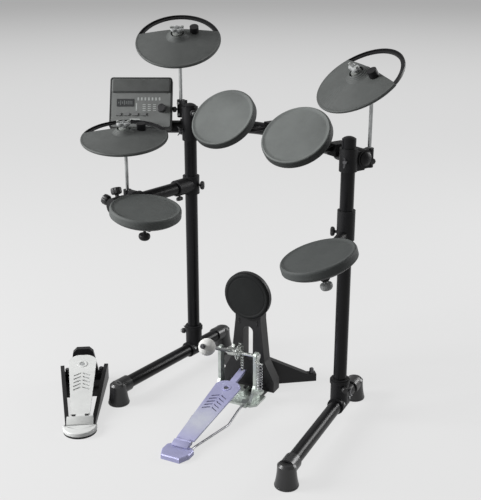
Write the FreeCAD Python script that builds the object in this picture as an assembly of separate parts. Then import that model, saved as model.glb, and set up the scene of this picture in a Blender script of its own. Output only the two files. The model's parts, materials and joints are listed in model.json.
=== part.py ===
import FreeCAD, Part
import math
import os

from FreeCAD import Placement, Rotation, Vector

os.makedirs("parts", exist_ok=True)

# An electronic drum kit on a two-post rack, with a kick tower, a chain-drive kick pedal
# and a hi-hat pedal. Millimetres and degrees. X runs from the left post to the right one,
# Y points away from the player, Z is up and the floor is at zero. Azimuths turn from -Y,
# the player's side, towards +X.

# Fits
FIT = 0.05             # radial clearance of a rod, pin or tube in its bore
GAP = 0.35             # running gap between faces that move past each other

# Rack tubes
TUBE_R = 19.0
TUBE_WALL = 1.6
SLEEVE_WALL = 5.5      # wall of the cast sleeves that hold the tubes
POST_SPAN = 574.0
BAR_Z = 768.0          # crossbar axis
LEFT_POST_RISE = 74.0  # post tops above the crossbar axis
RIGHT_POST_RISE = 56.0
LEFT_POST_TOP_Z = BAR_Z + LEFT_POST_RISE
RIGHT_POST_TOP_Z = BAR_Z + RIGHT_POST_RISE
ARM_DROP = 170.0       # snare arm axis below the crossbar axis
ARM_Z = BAR_Z - ARM_DROP
FLOOR_COLLAR_DROP = 181.0
FLOOR_COLLAR_Z = BAR_Z - FLOOR_COLLAR_DROP
FLOOR_ARM_DROP = 21.0  # root of the floor tom's arm below its collar's middle
FLOOR_ARM_Z = FLOOR_COLLAR_Z - FLOOR_ARM_DROP
LEG_Z = 50.0
LEFT_LEG_FRONT = 356.0
LEFT_LEG_REAR = 150.0
RIGHT_LEG_FRONT = 386.0
RIGHT_LEG_REAR = 136.0
LEFT_LEG_TURN = 4.0    # each leg turned about its post, front end towards +X
RIGHT_LEG_TURN = 15.0
LEG_SLEEVE_LENGTH = 62.0
LEG_SOCKET_HEIGHT = 78.0
CAP_RISE = 7.0         # crown of the plastic tube caps
CAP_SKIRT = 14.0

# Rubber boots under the leg ends
BOOT_TOP_R = 25.0
BOOT_FOOT_R = 31.0
BOOT_HEIGHT = 66.0
BOOT_GRIP = 16.0       # how far a boot reaches back along its tube
BOOT_GRIP_WALL = 4.5

# Crossbar, one tube with one bend, passing behind both posts
BAR_OFFSET = 43.0
LEFT_BAR_ANGLE = 40.0
RIGHT_BAR_ANGLE = -15.0
BAR_BEND_R = 130.0
BAR_STUB = 196.0       # from the left post out to the module end
BAR_TAIL = 22.0        # past the right post
TOP_SLEEVE_HEIGHT = 62.0
BAR_SLEEVE_LENGTH = 64.0
CROSS_STEP = 1.2       # post sockets are this much larger, so that no two sleeves are level

# Cymbal rods and their holders
ROD_R = 5.0
ROD_BEND_R = 38.0
HOLDER_R = 12.0
HOLDER_LENGTH = 52.0
HOLDER_LIFT = 34.0     # left holder stands this far above the crossbar axis
ROD_END_MARGIN = 3.0   # rod end above the foot of its holder
ROD_NECK = 72.0        # from the cymbal centre down to the bend
ROD_TIP = 48.0         # rod end above the rocking centre

# Cymbal pads
CYMBAL_R = 123.0
CYMBAL_RING = 12.0     # width of the open half ring
CYMBAL_CUT = 37.0      # straight edge of the opening, behind the centre
CYMBAL_RIM_DROP = 13.0
CYMBAL_SHELL_T = 4.0
CYMBAL_RUBBER_T = 4.0
CYMBAL_LIP = 2.5
BELL_SPHERE_R = 16.3
BELL_T = 5.0
BELL_DROP = 10.0       # rocking centre below the middle of the disc
BELL_HALF_ANGLE = 50.0
BELL_RUBBER_R = 24.0
CYMBAL_HOLE_R = 8.6
FELT_R = 14.0
FELT_TOP = 19.0        # above the middle of the disc
NUT_R = 8.5
NUT_HEIGHT = 13.0
COLLAR_R = 10.0
COLLAR_LENGTH = 16.0
JACK_BOX_R = 13.0
JACK_BOX_HEIGHT = 34.0
JACK_BOX_X = 48.0
JACK_BOX_Y = 21.0

# name: disc centre, tilt, azimuth of the tilt, turn of the opening
CRASH_CENTRE = Vector(-302.0, -28.0, BAR_Z + 263.0)
CRASH_TILT = 29.4
CRASH_AZIMUTH = 37.0
CRASH_TURN = 4.0
RIDE_CENTRE = Vector(293.0, 33.0, BAR_Z + 204.0)
RIDE_TILT = 34.7
RIDE_AZIMUTH = -15.4
RIDE_TURN = -12.0
HIHAT_CENTRE = Vector(-314.0, -242.0, ARM_Z + 182.0)
HIHAT_TILT = 10.8
HIHAT_AZIMUTH = 38.0
HIHAT_TURN = 6.0

# Drum pads
PAD_R = 99.0
PAD_FACE_R = 90.0
PAD_HEAD_H = 24.0
PAD_DEPTH = 40.0
PAD_SHELL_WALL = 4.0
PAD_FLOOR_R = 62.0
PAD_BOSS_R = 13.5
PAD_BOSS_LENGTH = 46.0
PAD_BOSS_DROP = 54.0   # rod axis below the playing face
PAD_NECK_R = 17.0
PAD_ROD_R = 5.5
PAD_ROD_BEND_R = 14.0
PAD_ROD_REACH = 78.0   # from the pad axis to the corner of its bent rod
PAD_ROD_END = 30.0     # rod end past the pad axis
PAD_KNOB_R = 15.0
PAD_KNOB_LENGTH = 17.0
PAD_KNOB_STEM_R = 4.0
PAD_KNOB_STEM = 12.0

TOM1_CENTRE = Vector(-148.0, -11.0, BAR_Z + 60.0)
TOM1_TILT = 43.6
TOM1_AZIMUTH = 7.3
TOM2_CENTRE = Vector(145.0, -46.0, BAR_Z + 56.0)
TOM2_TILT = 39.2
TOM2_AZIMUTH = 7.5
SNARE_CENTRE = Vector(-157.0, -317.0, ARM_Z + 24.0)
SNARE_TILT = 7.8
SNARE_AZIMUTH = 80.0
FLOOR_CENTRE = Vector(364.0, -234.0, FLOOR_ARM_Z + 17.0)
FLOOR_TILT = 16.4
FLOOR_AZIMUTH = -42.9

# Tom clamps on the crossbar
TOM_CLAMP_LENGTH = 42.0
TOM_BLOCK_WIDTH = 34.0
TOM_BLOCK_DEPTH = 22.0
TOM_BLOCK_HEIGHT = 34.0

# Snare arm on the left post
ARM_AZIMUTH = -0.5
ARM_LENGTH = 316.0
ARM_COLLAR_HEIGHT = 56.0
ARM_SOCKET_LENGTH = 68.0
ARM_CLAMP_LENGTH = 40.0
ARM_HIHAT_AT = 231.0   # hi-hat holder along the arm

# Floor tom arm on the right post
FLOOR_COLLAR_HEIGHT = 84.0
FLOOR_ARM_R = 14.0
FLOOR_ARM_LENGTH = 112.0
FLOOR_SOCKET = 44.0

# Sound module on the crossbar stub
MODULE_WIDTH = 186.0
MODULE_LENGTH = 160.0
MODULE_DEPTH = 42.0
MODULE_BACK_INSET = 16.0
MODULE_CORNER_R = 9.0
MODULE_FACE_ELEVATION = 30.0
MODULE_ALONG = 146.0   # hinge place along the stub, from the left post
MODULE_HINGE_RISE = 36.0
MODULE_HINGE_BACK = 16.0
MODULE_HINGE_LOW = 18.0
MODULE_PIN_R = 5.0
MODULE_LUG_WIDTH = 26.0
MODULE_EAR_WIDTH = 8.0
MODULE_EAR_R = 11.0
PANEL_T = 3.0
PANEL_BORDER = 5.0
PANEL_WELL = 5.0       # free depth under the panel
BROW_LENGTH = 44.0     # raised band across the top of the panel
BROW_RISE = 5.0
KNOB_R = 13.0
KNOB_HEIGHT = 12.0
KNOB_SHAFT_R = 3.0
KNOB_X = 62.0
KNOB_Y = -18.0
BUTTON_WIDTH = 15.0
BUTTON_LENGTH = 9.0
BUTTON_PITCH = 25.0
BUTTON_X = -66.0
BUTTON_Y = -36.0
BUTTON_PROUD = 3.0
BUTTON_TRAVEL = 1.5
BUTTON_FLANGE = 1.5
BUTTON_COUNT = 4
DISPLAY_WIDTH = 52.0
DISPLAY_LENGTH = 24.0
DISPLAY_T = 2.0
DISPLAY_X = -46.0
DISPLAY_Y = 0.0
JACK_R = 3.3           # for a 6.35 mm plug
JACK_DEPTH = 24.0
JACK_PITCH = 34.0
JACK_Z = 28.0          # above the back face

# Kick tower and pedal, in their own frame: X right, Y away from the player, axle above zero
KICK_X = -18.0
KICK_Y = -90.0
KICK_TURN = 14.0
AXLE_Z = 145.0
AXLE_R = 5.0
UPRIGHT_SPAN = 117.0
UPRIGHT_T = 9.0
UPRIGHT_WIDTH = 24.0
UPRIGHT_HEAD_R = 13.0
UPRIGHT_FOOT_WIDTH = 62.0
BASE_PLATE_T = 7.0
BASE_PLATE_FRONT = 24.0
BASE_PLATE_BACK = 52.0
BASE_PLATE_MARGIN = 16.0
SPROCKET_R = 26.0
SPROCKET_TEETH = 16
SPROCKET_T = 3.0
CHAIN_PITCH = 9.5
CHAIN_LINK_R = 4.0
CHAIN_PLATE_T = 1.3
CHAIN_WIDTH = 9.0
HUB_R = 13.0
HUB_WIDTH = 22.0
HUB_X = -21.0          # beater hub beside the sprocket
BEATER_LENGTH = 176.0
BEATER_LEAN = 63.0     # back from upright, at rest
BEATER_ROD_R = 4.5
BEATER_ROD_TAIL = 24.0
BEATER_HEAD_R = 25.0
BEATER_NUT_R = 7.0
BEATER_NUT_T = 5.0
FOOTBOARD_HINGE_Y = -332.0
FOOTBOARD_HINGE_Z = 20.0
FOOTBOARD_SLOPE = 9.4
FOOTBOARD_T = 5.0
FOOTBOARD_HEEL_WIDTH = 54.0
FOOTBOARD_TOE_WIDTH = 80.0
FOOTBOARD_TOE_Y = -46.0
TOE_TONGUE_WIDTH = 20.0
HINGE_PIN_R = 3.0
HINGE_KNUCKLE_R = 6.5
HINGE_KNUCKLE_WIDTH = 26.0
HEEL_WIDTH = 84.0
HEEL_LENGTH = 66.0
HEEL_T = 14.0
WIRE_R = 3.2
WIRE_HEEL_X = 30.0
WIRE_BOW_X = 58.0
WIRE_BOW_Y = -180.0
WIRE_FRONT_X = 44.0
SPRING_R = 8.0
SPRING_WIRE_R = 1.2
SPRING_TURNS = 9
SPRING_X = 78.0
SPRING_FOOT_Z = 44.0
CRANK_LENGTH = 22.0
SLOT_ROWS = 5
SLOT_PITCH = 15.0
SLOT_WIDTH = 5.0
SLOT_REACH = 24.0
SLOT_RISE = 11.0

KICK_PAD_R = 72.0
KICK_PAD_T = 14.0
KICK_PAD_Z = 306.0
KICK_PAD_Y = 49.0
TOWER_T = 40.0
TOWER_DISC_WALL = 2.5
TOWER_DISC_T = 12.0
TOWER_WAIST = 84.0
TOWER_WAIST_Z = 225.0
TOWER_FOOT = 176.0
TOWER_SLOT_WIDTH = 33.0
TOWER_SLOT_LOW = 96.0
TOWER_SLOT_HIGH = 205.0
FIN_LENGTH = 206.0
FIN_ANGLE = 54.0       # each fin turned outwards from straight back
FIN_T = 24.0
FIN_HEIGHT = 84.0
FIN_TIP_HEIGHT = 24.0
TONGUE_LENGTH = 30.0
TONGUE_T = 12.0
SPIKE_R = 4.0
SPIKE_HEAD_R = 7.0
SPIKE_RISE = 16.0

# Hi-hat pedal, in its own frame with the hinge at zero
HH_X = -246.0
HH_Y = -517.0
HH_TURN = 47.0
HH_HINGE_Z = 27.0
HH_SLOPE = 16.5
HH_FRAME_FRONT = 290.0
HH_TOE_MARGIN = 32.0   # footboard toe behind the front of the frame
HH_BOARD_LENGTH = HH_FRAME_FRONT - HH_TOE_MARGIN
HH_BOARD_T = 5.0
HH_BOARD_HEEL_WIDTH = 54.0
HH_BOARD_TOE_WIDTH = 84.0
HH_FRAME_REAR_X = 35.0
HH_FRAME_FRONT_X = 68.0
HH_RAIL_T = 12.0
HH_RAIL_REAR_H = 12.0
HH_RAIL_FRONT_H = 50.0
HH_CROSS_T = 22.0
HH_HEEL_LENGTH = 78.0
HH_HEEL_R = 47.0
HH_HEEL_T = 15.0
HH_COVER_INSET = 6.0   # heel cover inside the edge of the heel plate
HH_COVER_T = 2.5
HH_TOE_WIDTH_LOW = 92.0
HH_TOE_WIDTH_TOP = 62.0
HH_TOE_TOP_Z = 112.0
HH_TOE_T = 18.0
HH_BUMPER_R = 11.0
HH_PRESS = 11.0        # travel of the hi-hat footboard
HH_SPIKE_X = 52.0


def unit(v):
    return Vector(v).normalize()


def heading(azimuth):
    """Level direction: 0 points to the player (-Y), 90 to +X."""
    a = math.radians(azimuth)
    return Vector(math.sin(a), -math.cos(a), 0)


def tilt_normal(tilt, azimuth):
    """Normal of a disc tipped by tilt towards the azimuth."""
    t = math.radians(tilt)
    return heading(azimuth) * math.sin(t) + Vector(0, 0, math.cos(t))


def frame_at(origin, x_axis, z_axis):
    """Placement whose local Z and X lie along the two given directions."""
    return Placement(origin, Rotation(x_axis, z_axis.cross(x_axis), z_axis, "ZXY"))


def disc_frame(origin, tilt, azimuth, turn=0.0):
    """Frame of a tilted disc: local Y climbs away from the player, then turns about Z."""
    z_axis = tilt_normal(tilt, azimuth)
    x_axis = unit(Vector(math.cos(math.radians(azimuth)), math.sin(math.radians(azimuth)), 0))
    spin = Placement(Vector(), Rotation(Vector(0, 0, 1), turn))
    return frame_at(origin, x_axis, z_axis).multiply(spin)


def placed(shape, placement):
    moved = shape.copy()
    moved.Placement = placement.multiply(moved.Placement)
    return moved


def rod(start, end, radius):
    run = end - start
    return Part.makeCylinder(radius, run.Length, start, run)


def tube(start, end, radius, wall):
    return rod(start, end, radius).cut(rod(start, end, radius - wall))


def bent_path(points, bend_r):
    """Straight runs through the points, with a tangent arc at each inner one."""
    edges = []
    last = points[0]
    for before, corner, after in zip(points, points[1:], points[2:]):
        back = unit(before - corner)
        ahead = unit(after - corner)
        half = back.getAngle(ahead) / 2
        reach = bend_r / math.tan(half)
        middle = corner + unit(back + ahead) * (bend_r / math.sin(half) - bend_r)
        edges.append(Part.LineSegment(last, corner + back * reach).toShape())
        edges.append(Part.Arc(corner + back * reach, middle, corner + ahead * reach).toShape())
        last = corner + ahead * reach
    edges.append(Part.LineSegment(last, points[-1]).toShape())
    return Part.Wire(edges)


def bent_rod(points, bend_r, radius):
    ring = Part.Wire(Part.makeCircle(radius, points[0], points[1] - points[0]))
    return bent_path(points, bend_r).makePipeShell([ring], True, False)


def prism(points, height):
    """Upright prism over a closed outline of (x, y) points."""
    corners = [Vector(x, y, 0) for x, y in points]
    return Part.Face(Part.makePolygon(corners + corners[:1])).extrude(Vector(0, 0, height))


def side_plate(points, thickness):
    """Plate over a closed outline of (y, z) points, centred on x = 0."""
    corners = [Vector(-thickness / 2, y, z) for y, z in points]
    return Part.Face(Part.makePolygon(corners + corners[:1])).extrude(Vector(thickness, 0, 0))


def front_plate(points, thickness):
    """Plate over a closed outline of (x, z) points, from y = 0 away from the player."""
    corners = [Vector(x, 0, z) for x, z in points]
    return Part.Face(Part.makePolygon(corners + corners[:1])).extrude(Vector(0, thickness, 0))


def revolved(profile):
    """Solid of revolution about Z; the profile joins (r, z) points and ("arc", mid, end)."""
    edges = []
    last = Vector(profile[0][0], 0, profile[0][1])
    for step in list(profile[1:]) + [profile[0]]:
        if step[0] == "arc":
            mid = Vector(step[1][0], 0, step[1][1])
            end = Vector(step[2][0], 0, step[2][1])
            edges.append(Part.Arc(last, mid, end).toShape())
        else:
            end = Vector(step[0], 0, step[1])
            if end.distanceToPoint(last) < 1e-6:
                continue
            edges.append(Part.LineSegment(last, end).toShape())
        last = end
    return Part.Face(Part.Wire(edges)).revolve(Vector(), Vector(0, 0, 1), 360)


def wing_bolt(stem_r, stem_length, head_r):
    """Bolt along +Z with a winged head: the stem ends at zero and the wings stand above it."""
    stem = Part.makeCylinder(stem_r, stem_length, Vector(0, 0, -stem_length))
    hub = Part.makeCylinder(head_r * 0.55, head_r, Vector())
    wing = front_plate([(-head_r * 1.5, head_r * 1.6), (-head_r * 0.5, 0),
                        (head_r * 0.5, 0), (head_r * 1.5, head_r * 1.6),
                        (head_r * 0.6, head_r * 0.9), (-head_r * 0.6, head_r * 0.9)],
                       head_r * 0.4)
    wing.translate(Vector(0, -head_r * 0.2, 0))
    return stem.fuse([hub, wing]).removeSplitter()


def wing_nut(bore_r, hub_r, height):
    """Nut along +Z, standing on zero, with two raised wings."""
    hub = revolved([(bore_r, 0), (hub_r, 0), (hub_r * 0.85, height), (bore_r, height)])
    wings = front_plate([(-hub_r * 2.4, height * 1.5), (-hub_r * 1.6, height * 1.6),
                         (-hub_r * 0.7, height * 0.8), (hub_r * 0.7, height * 0.8),
                         (hub_r * 1.6, height * 1.6), (hub_r * 2.4, height * 1.5),
                         (hub_r * 1.5, height * 0.1), (-hub_r * 1.5, height * 0.1)],
                        hub_r * 0.6)
    wings.translate(Vector(0, -hub_r * 0.3, 0))
    wings = wings.cut(Part.makeCylinder(bore_r, height * 3, Vector(0, 0, -height)))
    return hub.fuse(wings).removeSplitter()


nodes = {}

# Rack

LEFT_POST = Vector(-POST_SPAN / 2, 0, 0)
RIGHT_POST = Vector(POST_SPAN / 2, 0, 0)
SLEEVE_R = TUBE_R + SLEEVE_WALL
BORE_R = TUBE_R + FIT
LIFT = Vector(0, 0, 1)
LEG_AT = LIFT * LEG_Z
BAR_AT = LIFT * BAR_Z


def level(angle):
    """Level direction at an angle from +X, counter-clockwise from above."""
    a = math.radians(angle)
    return Vector(math.cos(a), math.sin(a), 0)


LEFT_BAR = level(LEFT_BAR_ANGLE)
RIGHT_BAR = level(RIGHT_BAR_ANGLE)
LEFT_CROSSING = LEFT_POST + BAR_AT + LIFT.cross(LEFT_BAR) * BAR_OFFSET
RIGHT_CROSSING = RIGHT_POST + BAR_AT + LIFT.cross(RIGHT_BAR) * BAR_OFFSET
BAR_SPAN = RIGHT_CROSSING - LEFT_CROSSING
BAR_LEFT_RUN = BAR_SPAN.cross(RIGHT_BAR).z / LEFT_BAR.cross(RIGHT_BAR).z
BAR_CORNER = LEFT_CROSSING + LEFT_BAR * BAR_LEFT_RUN
BAR_START = LEFT_CROSSING - LEFT_BAR * BAR_STUB
BAR_END = RIGHT_CROSSING + RIGHT_BAR * BAR_TAIL


def tube_cap(end, direction):
    """Crowned plastic plug in an open tube end."""
    inner_r = TUBE_R - TUBE_WALL - FIT
    crown_r = (TUBE_R ** 2 + CAP_RISE ** 2) / (2 * CAP_RISE)
    crown_mid = (TUBE_R / 2, math.sqrt(crown_r ** 2 - TUBE_R ** 2 / 4) - crown_r + CAP_RISE)
    cap = revolved([(0, -CAP_SKIRT), (inner_r, -CAP_SKIRT), (inner_r, 0), (TUBE_R, 0),
                    ("arc", crown_mid, (0, CAP_RISE))])
    side = Vector(1, 0, 0) if abs(direction.z) > 0.5 else LIFT
    return placed(cap, frame_at(end, unit(direction.cross(side)), direction))


def boot(leg_end, outward):
    """Bell-shaped rubber foot with a grip round the end of its leg tube."""
    bell = revolved([(0, 0), (BOOT_FOOT_R, 0), (BOOT_FOOT_R, 7),
                     ("arc", (BOOT_TOP_R + 1.5, BOOT_HEIGHT * 0.5), (BOOT_TOP_R, BOOT_HEIGHT - 6)),
                     (BOOT_TOP_R - 6, BOOT_HEIGHT), (0, BOOT_HEIGHT)])
    bell.translate(Vector(leg_end.x, leg_end.y, 0))
    grip = rod(leg_end, leg_end - outward * (BOOT_TOP_R + BOOT_GRIP), TUBE_R + BOOT_GRIP_WALL)
    bore = rod(leg_end - outward * (BOOT_TOP_R + BOOT_GRIP), leg_end, BORE_R)
    return bell.fuse(grip).cut(bore).removeSplitter()


leg_tubes = []
leg_boots = []
leg_joints = []
rack_bolts = []
for post, turn, front, rear in ((LEFT_POST, LEFT_LEG_TURN, LEFT_LEG_FRONT, LEFT_LEG_REAR),
                                (RIGHT_POST, RIGHT_LEG_TURN, RIGHT_LEG_FRONT, RIGHT_LEG_REAR)):
    forward = heading(turn)
    front_end = post + LEG_AT + forward * front
    rear_end = post + LEG_AT - forward * rear
    leg_tubes.append(tube(rear_end, front_end, TUBE_R, TUBE_WALL))
    leg_boots.append(boot(front_end, forward))
    leg_boots.append(boot(rear_end, forward * -1))
    half = forward * (LEG_SLEEVE_LENGTH / 2)
    socket_top = post + LIFT * (LEG_Z + LEG_SOCKET_HEIGHT)
    post_foot = post + LIFT * (LEG_Z + SLEEVE_R)
    sleeve = rod(post + LEG_AT - half, post + LEG_AT + half, SLEEVE_R)
    socket = rod(post + LEG_AT, socket_top, SLEEVE_R + CROSS_STEP)
    rib = rod(post + LIFT * (LEG_Z + LEG_SOCKET_HEIGHT - 14),
              post + LIFT * (LEG_Z + LEG_SOCKET_HEIGHT - 4), SLEEVE_R + 4)
    bores = [rod(post + LEG_AT - half * 1.1, post + LEG_AT + half * 1.1, BORE_R),
             rod(post_foot, socket_top + LIFT, BORE_R)]
    leg_joints.append(sleeve.fuse([socket, rib]).cut(bores[0]).cut(bores[1]).removeSplitter())
    outward = post * (1 / post.Length)
    bolt_at = post + LIFT * (LEG_Z + LEG_SOCKET_HEIGHT - 30) + outward * (SLEEVE_R + CROSS_STEP + 4)
    rack_bolts.append((bolt_at, outward))

nodes["leg_tubes"] = Part.makeCompound(leg_tubes)
nodes["leg_boots"] = Part.makeCompound(leg_boots)
POST_FOOT_Z = LEG_Z + SLEEVE_R
nodes["left_post"] = tube(LEFT_POST + LIFT * POST_FOOT_Z, LEFT_POST + LIFT * LEFT_POST_TOP_Z,
                          TUBE_R, TUBE_WALL)
nodes["right_post"] = tube(RIGHT_POST + LIFT * POST_FOOT_Z, RIGHT_POST + LIFT * RIGHT_POST_TOP_Z,
                           TUBE_R, TUBE_WALL)

bar_points = [BAR_START, BAR_CORNER, BAR_END]
bar_core = bent_rod(bar_points, BAR_BEND_R, TUBE_R - TUBE_WALL)
nodes["crossbar"] = bent_rod(bar_points, BAR_BEND_R, TUBE_R).cut(bar_core)
nodes["tube_caps"] = Part.makeCompound([
    tube_cap(LEFT_POST + LIFT * LEFT_POST_TOP_Z, LIFT),
    tube_cap(RIGHT_POST + LIFT * RIGHT_POST_TOP_Z, LIFT),
    tube_cap(BAR_START, LEFT_BAR * -1),
    tube_cap(BAR_END, RIGHT_BAR)])


# Cymbals: places that the castings below are built round

def cymbal_places(centre, tilt, azimuth):
    """Rocking centre, rod bend corner and rod foot position of one cymbal."""
    normal = tilt_normal(tilt, azimuth)
    return centre + normal * (CYMBAL_RIM_DROP - BELL_DROP), centre - normal * ROD_NECK


CRASH_PIVOT, CRASH_BEND = cymbal_places(CRASH_CENTRE, CRASH_TILT, CRASH_AZIMUTH)
RIDE_PIVOT, RIDE_BEND = cymbal_places(RIDE_CENTRE, RIDE_TILT, RIDE_AZIMUTH)
HIHAT_PIVOT, HIHAT_BEND = cymbal_places(HIHAT_CENTRE, HIHAT_TILT, HIHAT_AZIMUTH)
CRASH_HOLDER_Z = BAR_Z + HOLDER_LIFT
RIDE_HOLDER_Z = BAR_Z - HOLDER_LENGTH * 0.6
HIHAT_HOLDER_Z = ARM_Z - HOLDER_LENGTH / 2


def at_height(point, z):
    return Vector(point.x, point.y, z)


def web(start, end, width):
    """Upright rib that ties a rod holder to its sleeve, over the holder's length."""
    run = at_height(end, start.z) - start
    side = LIFT.cross(unit(run)) * (width / 2)
    corners = [start + side, start - side, start - side + run, start + side + run]
    face = Part.Face(Part.makePolygon(corners + corners[:1]))
    return face.extrude(LIFT * HOLDER_LENGTH)


def rod_holder(at, foot_z, carrier):
    """Upright rod socket beside a carrier point, with its web and its bore."""
    foot = at_height(at, foot_z)
    barrel = Part.makeCylinder(HOLDER_R, HOLDER_LENGTH, foot, LIFT)
    rib = web(at_height(carrier, foot_z), foot, HOLDER_R * 1.3)
    bore = Part.makeCylinder(ROD_R + FIT, HOLDER_LENGTH * 1.2, foot - LIFT * 3, LIFT)
    return barrel, rib, bore


def top_joint(post, crossing, bar_dir, bend, holder_z, carrier, sleeve_top, tail):
    """Cross clamp of a post and the crossbar, with the socket of a cymbal rod."""
    low = post + LIFT * (BAR_Z - TOP_SLEEVE_HEIGHT / 2)
    high = post + LIFT * sleeve_top
    bar_low = crossing - bar_dir * (BAR_SLEEVE_LENGTH / 2)
    bar_high = crossing + bar_dir * tail
    barrel, rib, rod_bore = rod_holder(bend, holder_z, carrier)
    bridge = web(low, at_height(crossing, low.z), SLEEVE_R * 1.4)
    bridge = bridge.common(Part.makeBox(4000, 4000, TOP_SLEEVE_HEIGHT,
                                        Vector(-2000, -2000, low.z)))
    body = rod(low, high, SLEEVE_R).fuse([
        rod(bar_low, bar_high, SLEEVE_R), bridge, barrel, rib])
    post_bore = rod(low - LIFT, high + LIFT * HOLDER_LENGTH, BORE_R)
    bar_bore = rod(bar_low - bar_dir, bar_high + bar_dir, BORE_R)
    return body.cut(post_bore).cut(bar_bore).cut(rod_bore).removeSplitter()


nodes["left_top_joint"] = top_joint(LEFT_POST, LEFT_CROSSING, LEFT_BAR, CRASH_BEND,
                                    CRASH_HOLDER_Z, LEFT_POST, LEFT_POST_TOP_Z - 4,
                                    BAR_SLEEVE_LENGTH / 2)
nodes["right_top_joint"] = top_joint(RIGHT_POST, RIGHT_CROSSING, RIGHT_BAR, RIDE_BEND,
                                     RIDE_HOLDER_Z, RIGHT_CROSSING,
                                     BAR_Z + TOP_SLEEVE_HEIGHT / 2, BAR_TAIL - 2)
nodes["leg_joints"] = Part.makeCompound(leg_joints)

for post in (LEFT_POST, RIGHT_POST):
    rack_bolts.append((post + BAR_AT + heading(post.x / abs(post.x) * 18) * (SLEEVE_R + 4),
                       heading(post.x / abs(post.x) * 18)))


def seated_bolt(at, outward):
    """Wing bolt whose stem runs into a sleeve wall from outside."""
    bolt = wing_bolt(4.0, 4.0 - GAP, 9.0)
    side = LIFT if abs(outward.z) < 0.9 else Vector(1, 0, 0)
    return placed(bolt, frame_at(at, side, outward))


nodes["rack_bolts"] = Part.makeCompound([seated_bolt(at, out) for at, out in rack_bolts])


# Cymbal pads

def sphere_point(radius, angle):
    """(r, z) of a sphere about the rocking centre, angle down from its top."""
    a = math.radians(angle)
    return radius * math.sin(a), radius * math.cos(a)


def angle_at(radius, r):
    return math.degrees(math.asin(r / radius))


RIM_TOP = BELL_DROP - CYMBAL_RIM_DROP      # z of the shell's top at the rim, from the pivot
BELL_OUTER_R = BELL_SPHERE_R + BELL_T
BELL_EDGE = sphere_point(BELL_OUTER_R, BELL_HALF_ANGLE)


def bow_z(r):
    """Height of the shell's top between the bell and the rim, a straight cone."""
    share = (r - BELL_EDGE[0]) / (CYMBAL_R - BELL_EDGE[0])
    return BELL_EDGE[1] + (RIM_TOP - BELL_EDGE[1]) * share


def cymbal_shell():
    """Stiff base: bell cup, shallow cone, rim lip, open half ring and jack box."""
    inner_edge = sphere_point(BELL_SPHERE_R, BELL_HALF_ANGLE)
    inner_hole = angle_at(BELL_SPHERE_R, CYMBAL_HOLE_R)
    outer_hole = angle_at(BELL_OUTER_R, CYMBAL_HOLE_R)
    lip_r = CYMBAL_R - CYMBAL_LIP
    lip_top = bow_z(lip_r) + CYMBAL_RUBBER_T
    body = revolved([
        sphere_point(BELL_SPHERE_R, inner_hole),
        ("arc", sphere_point(BELL_SPHERE_R, (inner_hole + BELL_HALF_ANGLE) / 2), inner_edge),
        (CYMBAL_R - CYMBAL_SHELL_T, RIM_TOP - CYMBAL_SHELL_T),
        ("arc", (CYMBAL_R - 1, RIM_TOP - CYMBAL_SHELL_T * 0.6), (CYMBAL_R, RIM_TOP)),
        (CYMBAL_R, lip_top), (lip_r, lip_top), (lip_r, bow_z(lip_r)), BELL_EDGE,
        ("arc", sphere_point(BELL_OUTER_R, (outer_hole + BELL_HALF_ANGLE) / 2),
         sphere_point(BELL_OUTER_R, outer_hole))])
    window = Part.makeCylinder(CYMBAL_R - CYMBAL_RING, 80, Vector(0, 0, -40))
    front = Part.makeBox(400, 200 + CYMBAL_CUT, 80, Vector(-200, -200, -40))
    seat = Vector(JACK_BOX_X, JACK_BOX_Y, RIM_TOP)
    jack_box = Part.makeCylinder(JACK_BOX_R, JACK_BOX_HEIGHT, seat)
    jack_box = jack_box.cut(revolved([
        (0, RIM_TOP - 30), (CYMBAL_R, RIM_TOP - 30), (CYMBAL_R, RIM_TOP - CYMBAL_SHELL_T),
        (CYMBAL_R - CYMBAL_SHELL_T, RIM_TOP - CYMBAL_SHELL_T), inner_edge, (0, inner_edge[1])]))
    return body.cut(window.cut(front)).fuse(jack_box).removeSplitter()


def cymbal_rubber():
    """Playing skin over the front of the shell, rolled into the rim lip."""
    edge_r = CYMBAL_R - CYMBAL_LIP
    start_r = BELL_RUBBER_R
    skin = revolved([
        (start_r, bow_z(start_r)), (edge_r, bow_z(edge_r)), (edge_r, bow_z(edge_r) + 1.5),
        ("arc", (edge_r - 1.2, bow_z(edge_r) + CYMBAL_RUBBER_T * 0.85),
         (edge_r - 4, bow_z(edge_r - 4) + CYMBAL_RUBBER_T)),
        (start_r + 3, bow_z(start_r + 3) + CYMBAL_RUBBER_T)])
    front = Part.makeBox(400, 200 + CYMBAL_CUT, 80, Vector(-200, -200, -40))
    well = Part.makeCylinder(JACK_BOX_R + FIT, 80, Vector(JACK_BOX_X, JACK_BOX_Y, -40))
    return skin.common(front).cut(well)


def cymbal_fittings():
    """Rod collar with its domed rocker seat, the upper felt and the wing nut."""
    bore = Part.makeCylinder(ROD_R + FIT, 200, Vector(0, 0, -100))
    dome_r = BELL_SPHERE_R - GAP
    seat_r, seat_z = sphere_point(dome_r, 75)
    seat = revolved([(0, dome_r), ("arc", sphere_point(dome_r, 40), (seat_r, seat_z)),
                     (COLLAR_R, seat_z - 6), (COLLAR_R, seat_z - 6 - COLLAR_LENGTH),
                     (0, seat_z - 6 - COLLAR_LENGTH)]).cut(bore)
    felt = Part.makeCylinder(FELT_R, FELT_TOP + BELL_DROP, Vector())
    felt = felt.cut(Part.makeSphere(BELL_OUTER_R + GAP)).cut(bore)
    felt = felt.makeChamfer(2.0, [e for e in felt.Edges if e.BoundBox.ZMin > FELT_TOP + BELL_DROP - 1
                                  and e.Length > 60])
    nut = wing_nut(ROD_R + FIT, NUT_R, NUT_HEIGHT)
    nut.translate(Vector(0, 0, FELT_TOP + BELL_DROP))
    return Part.makeCompound([seat, felt, nut])


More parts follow.
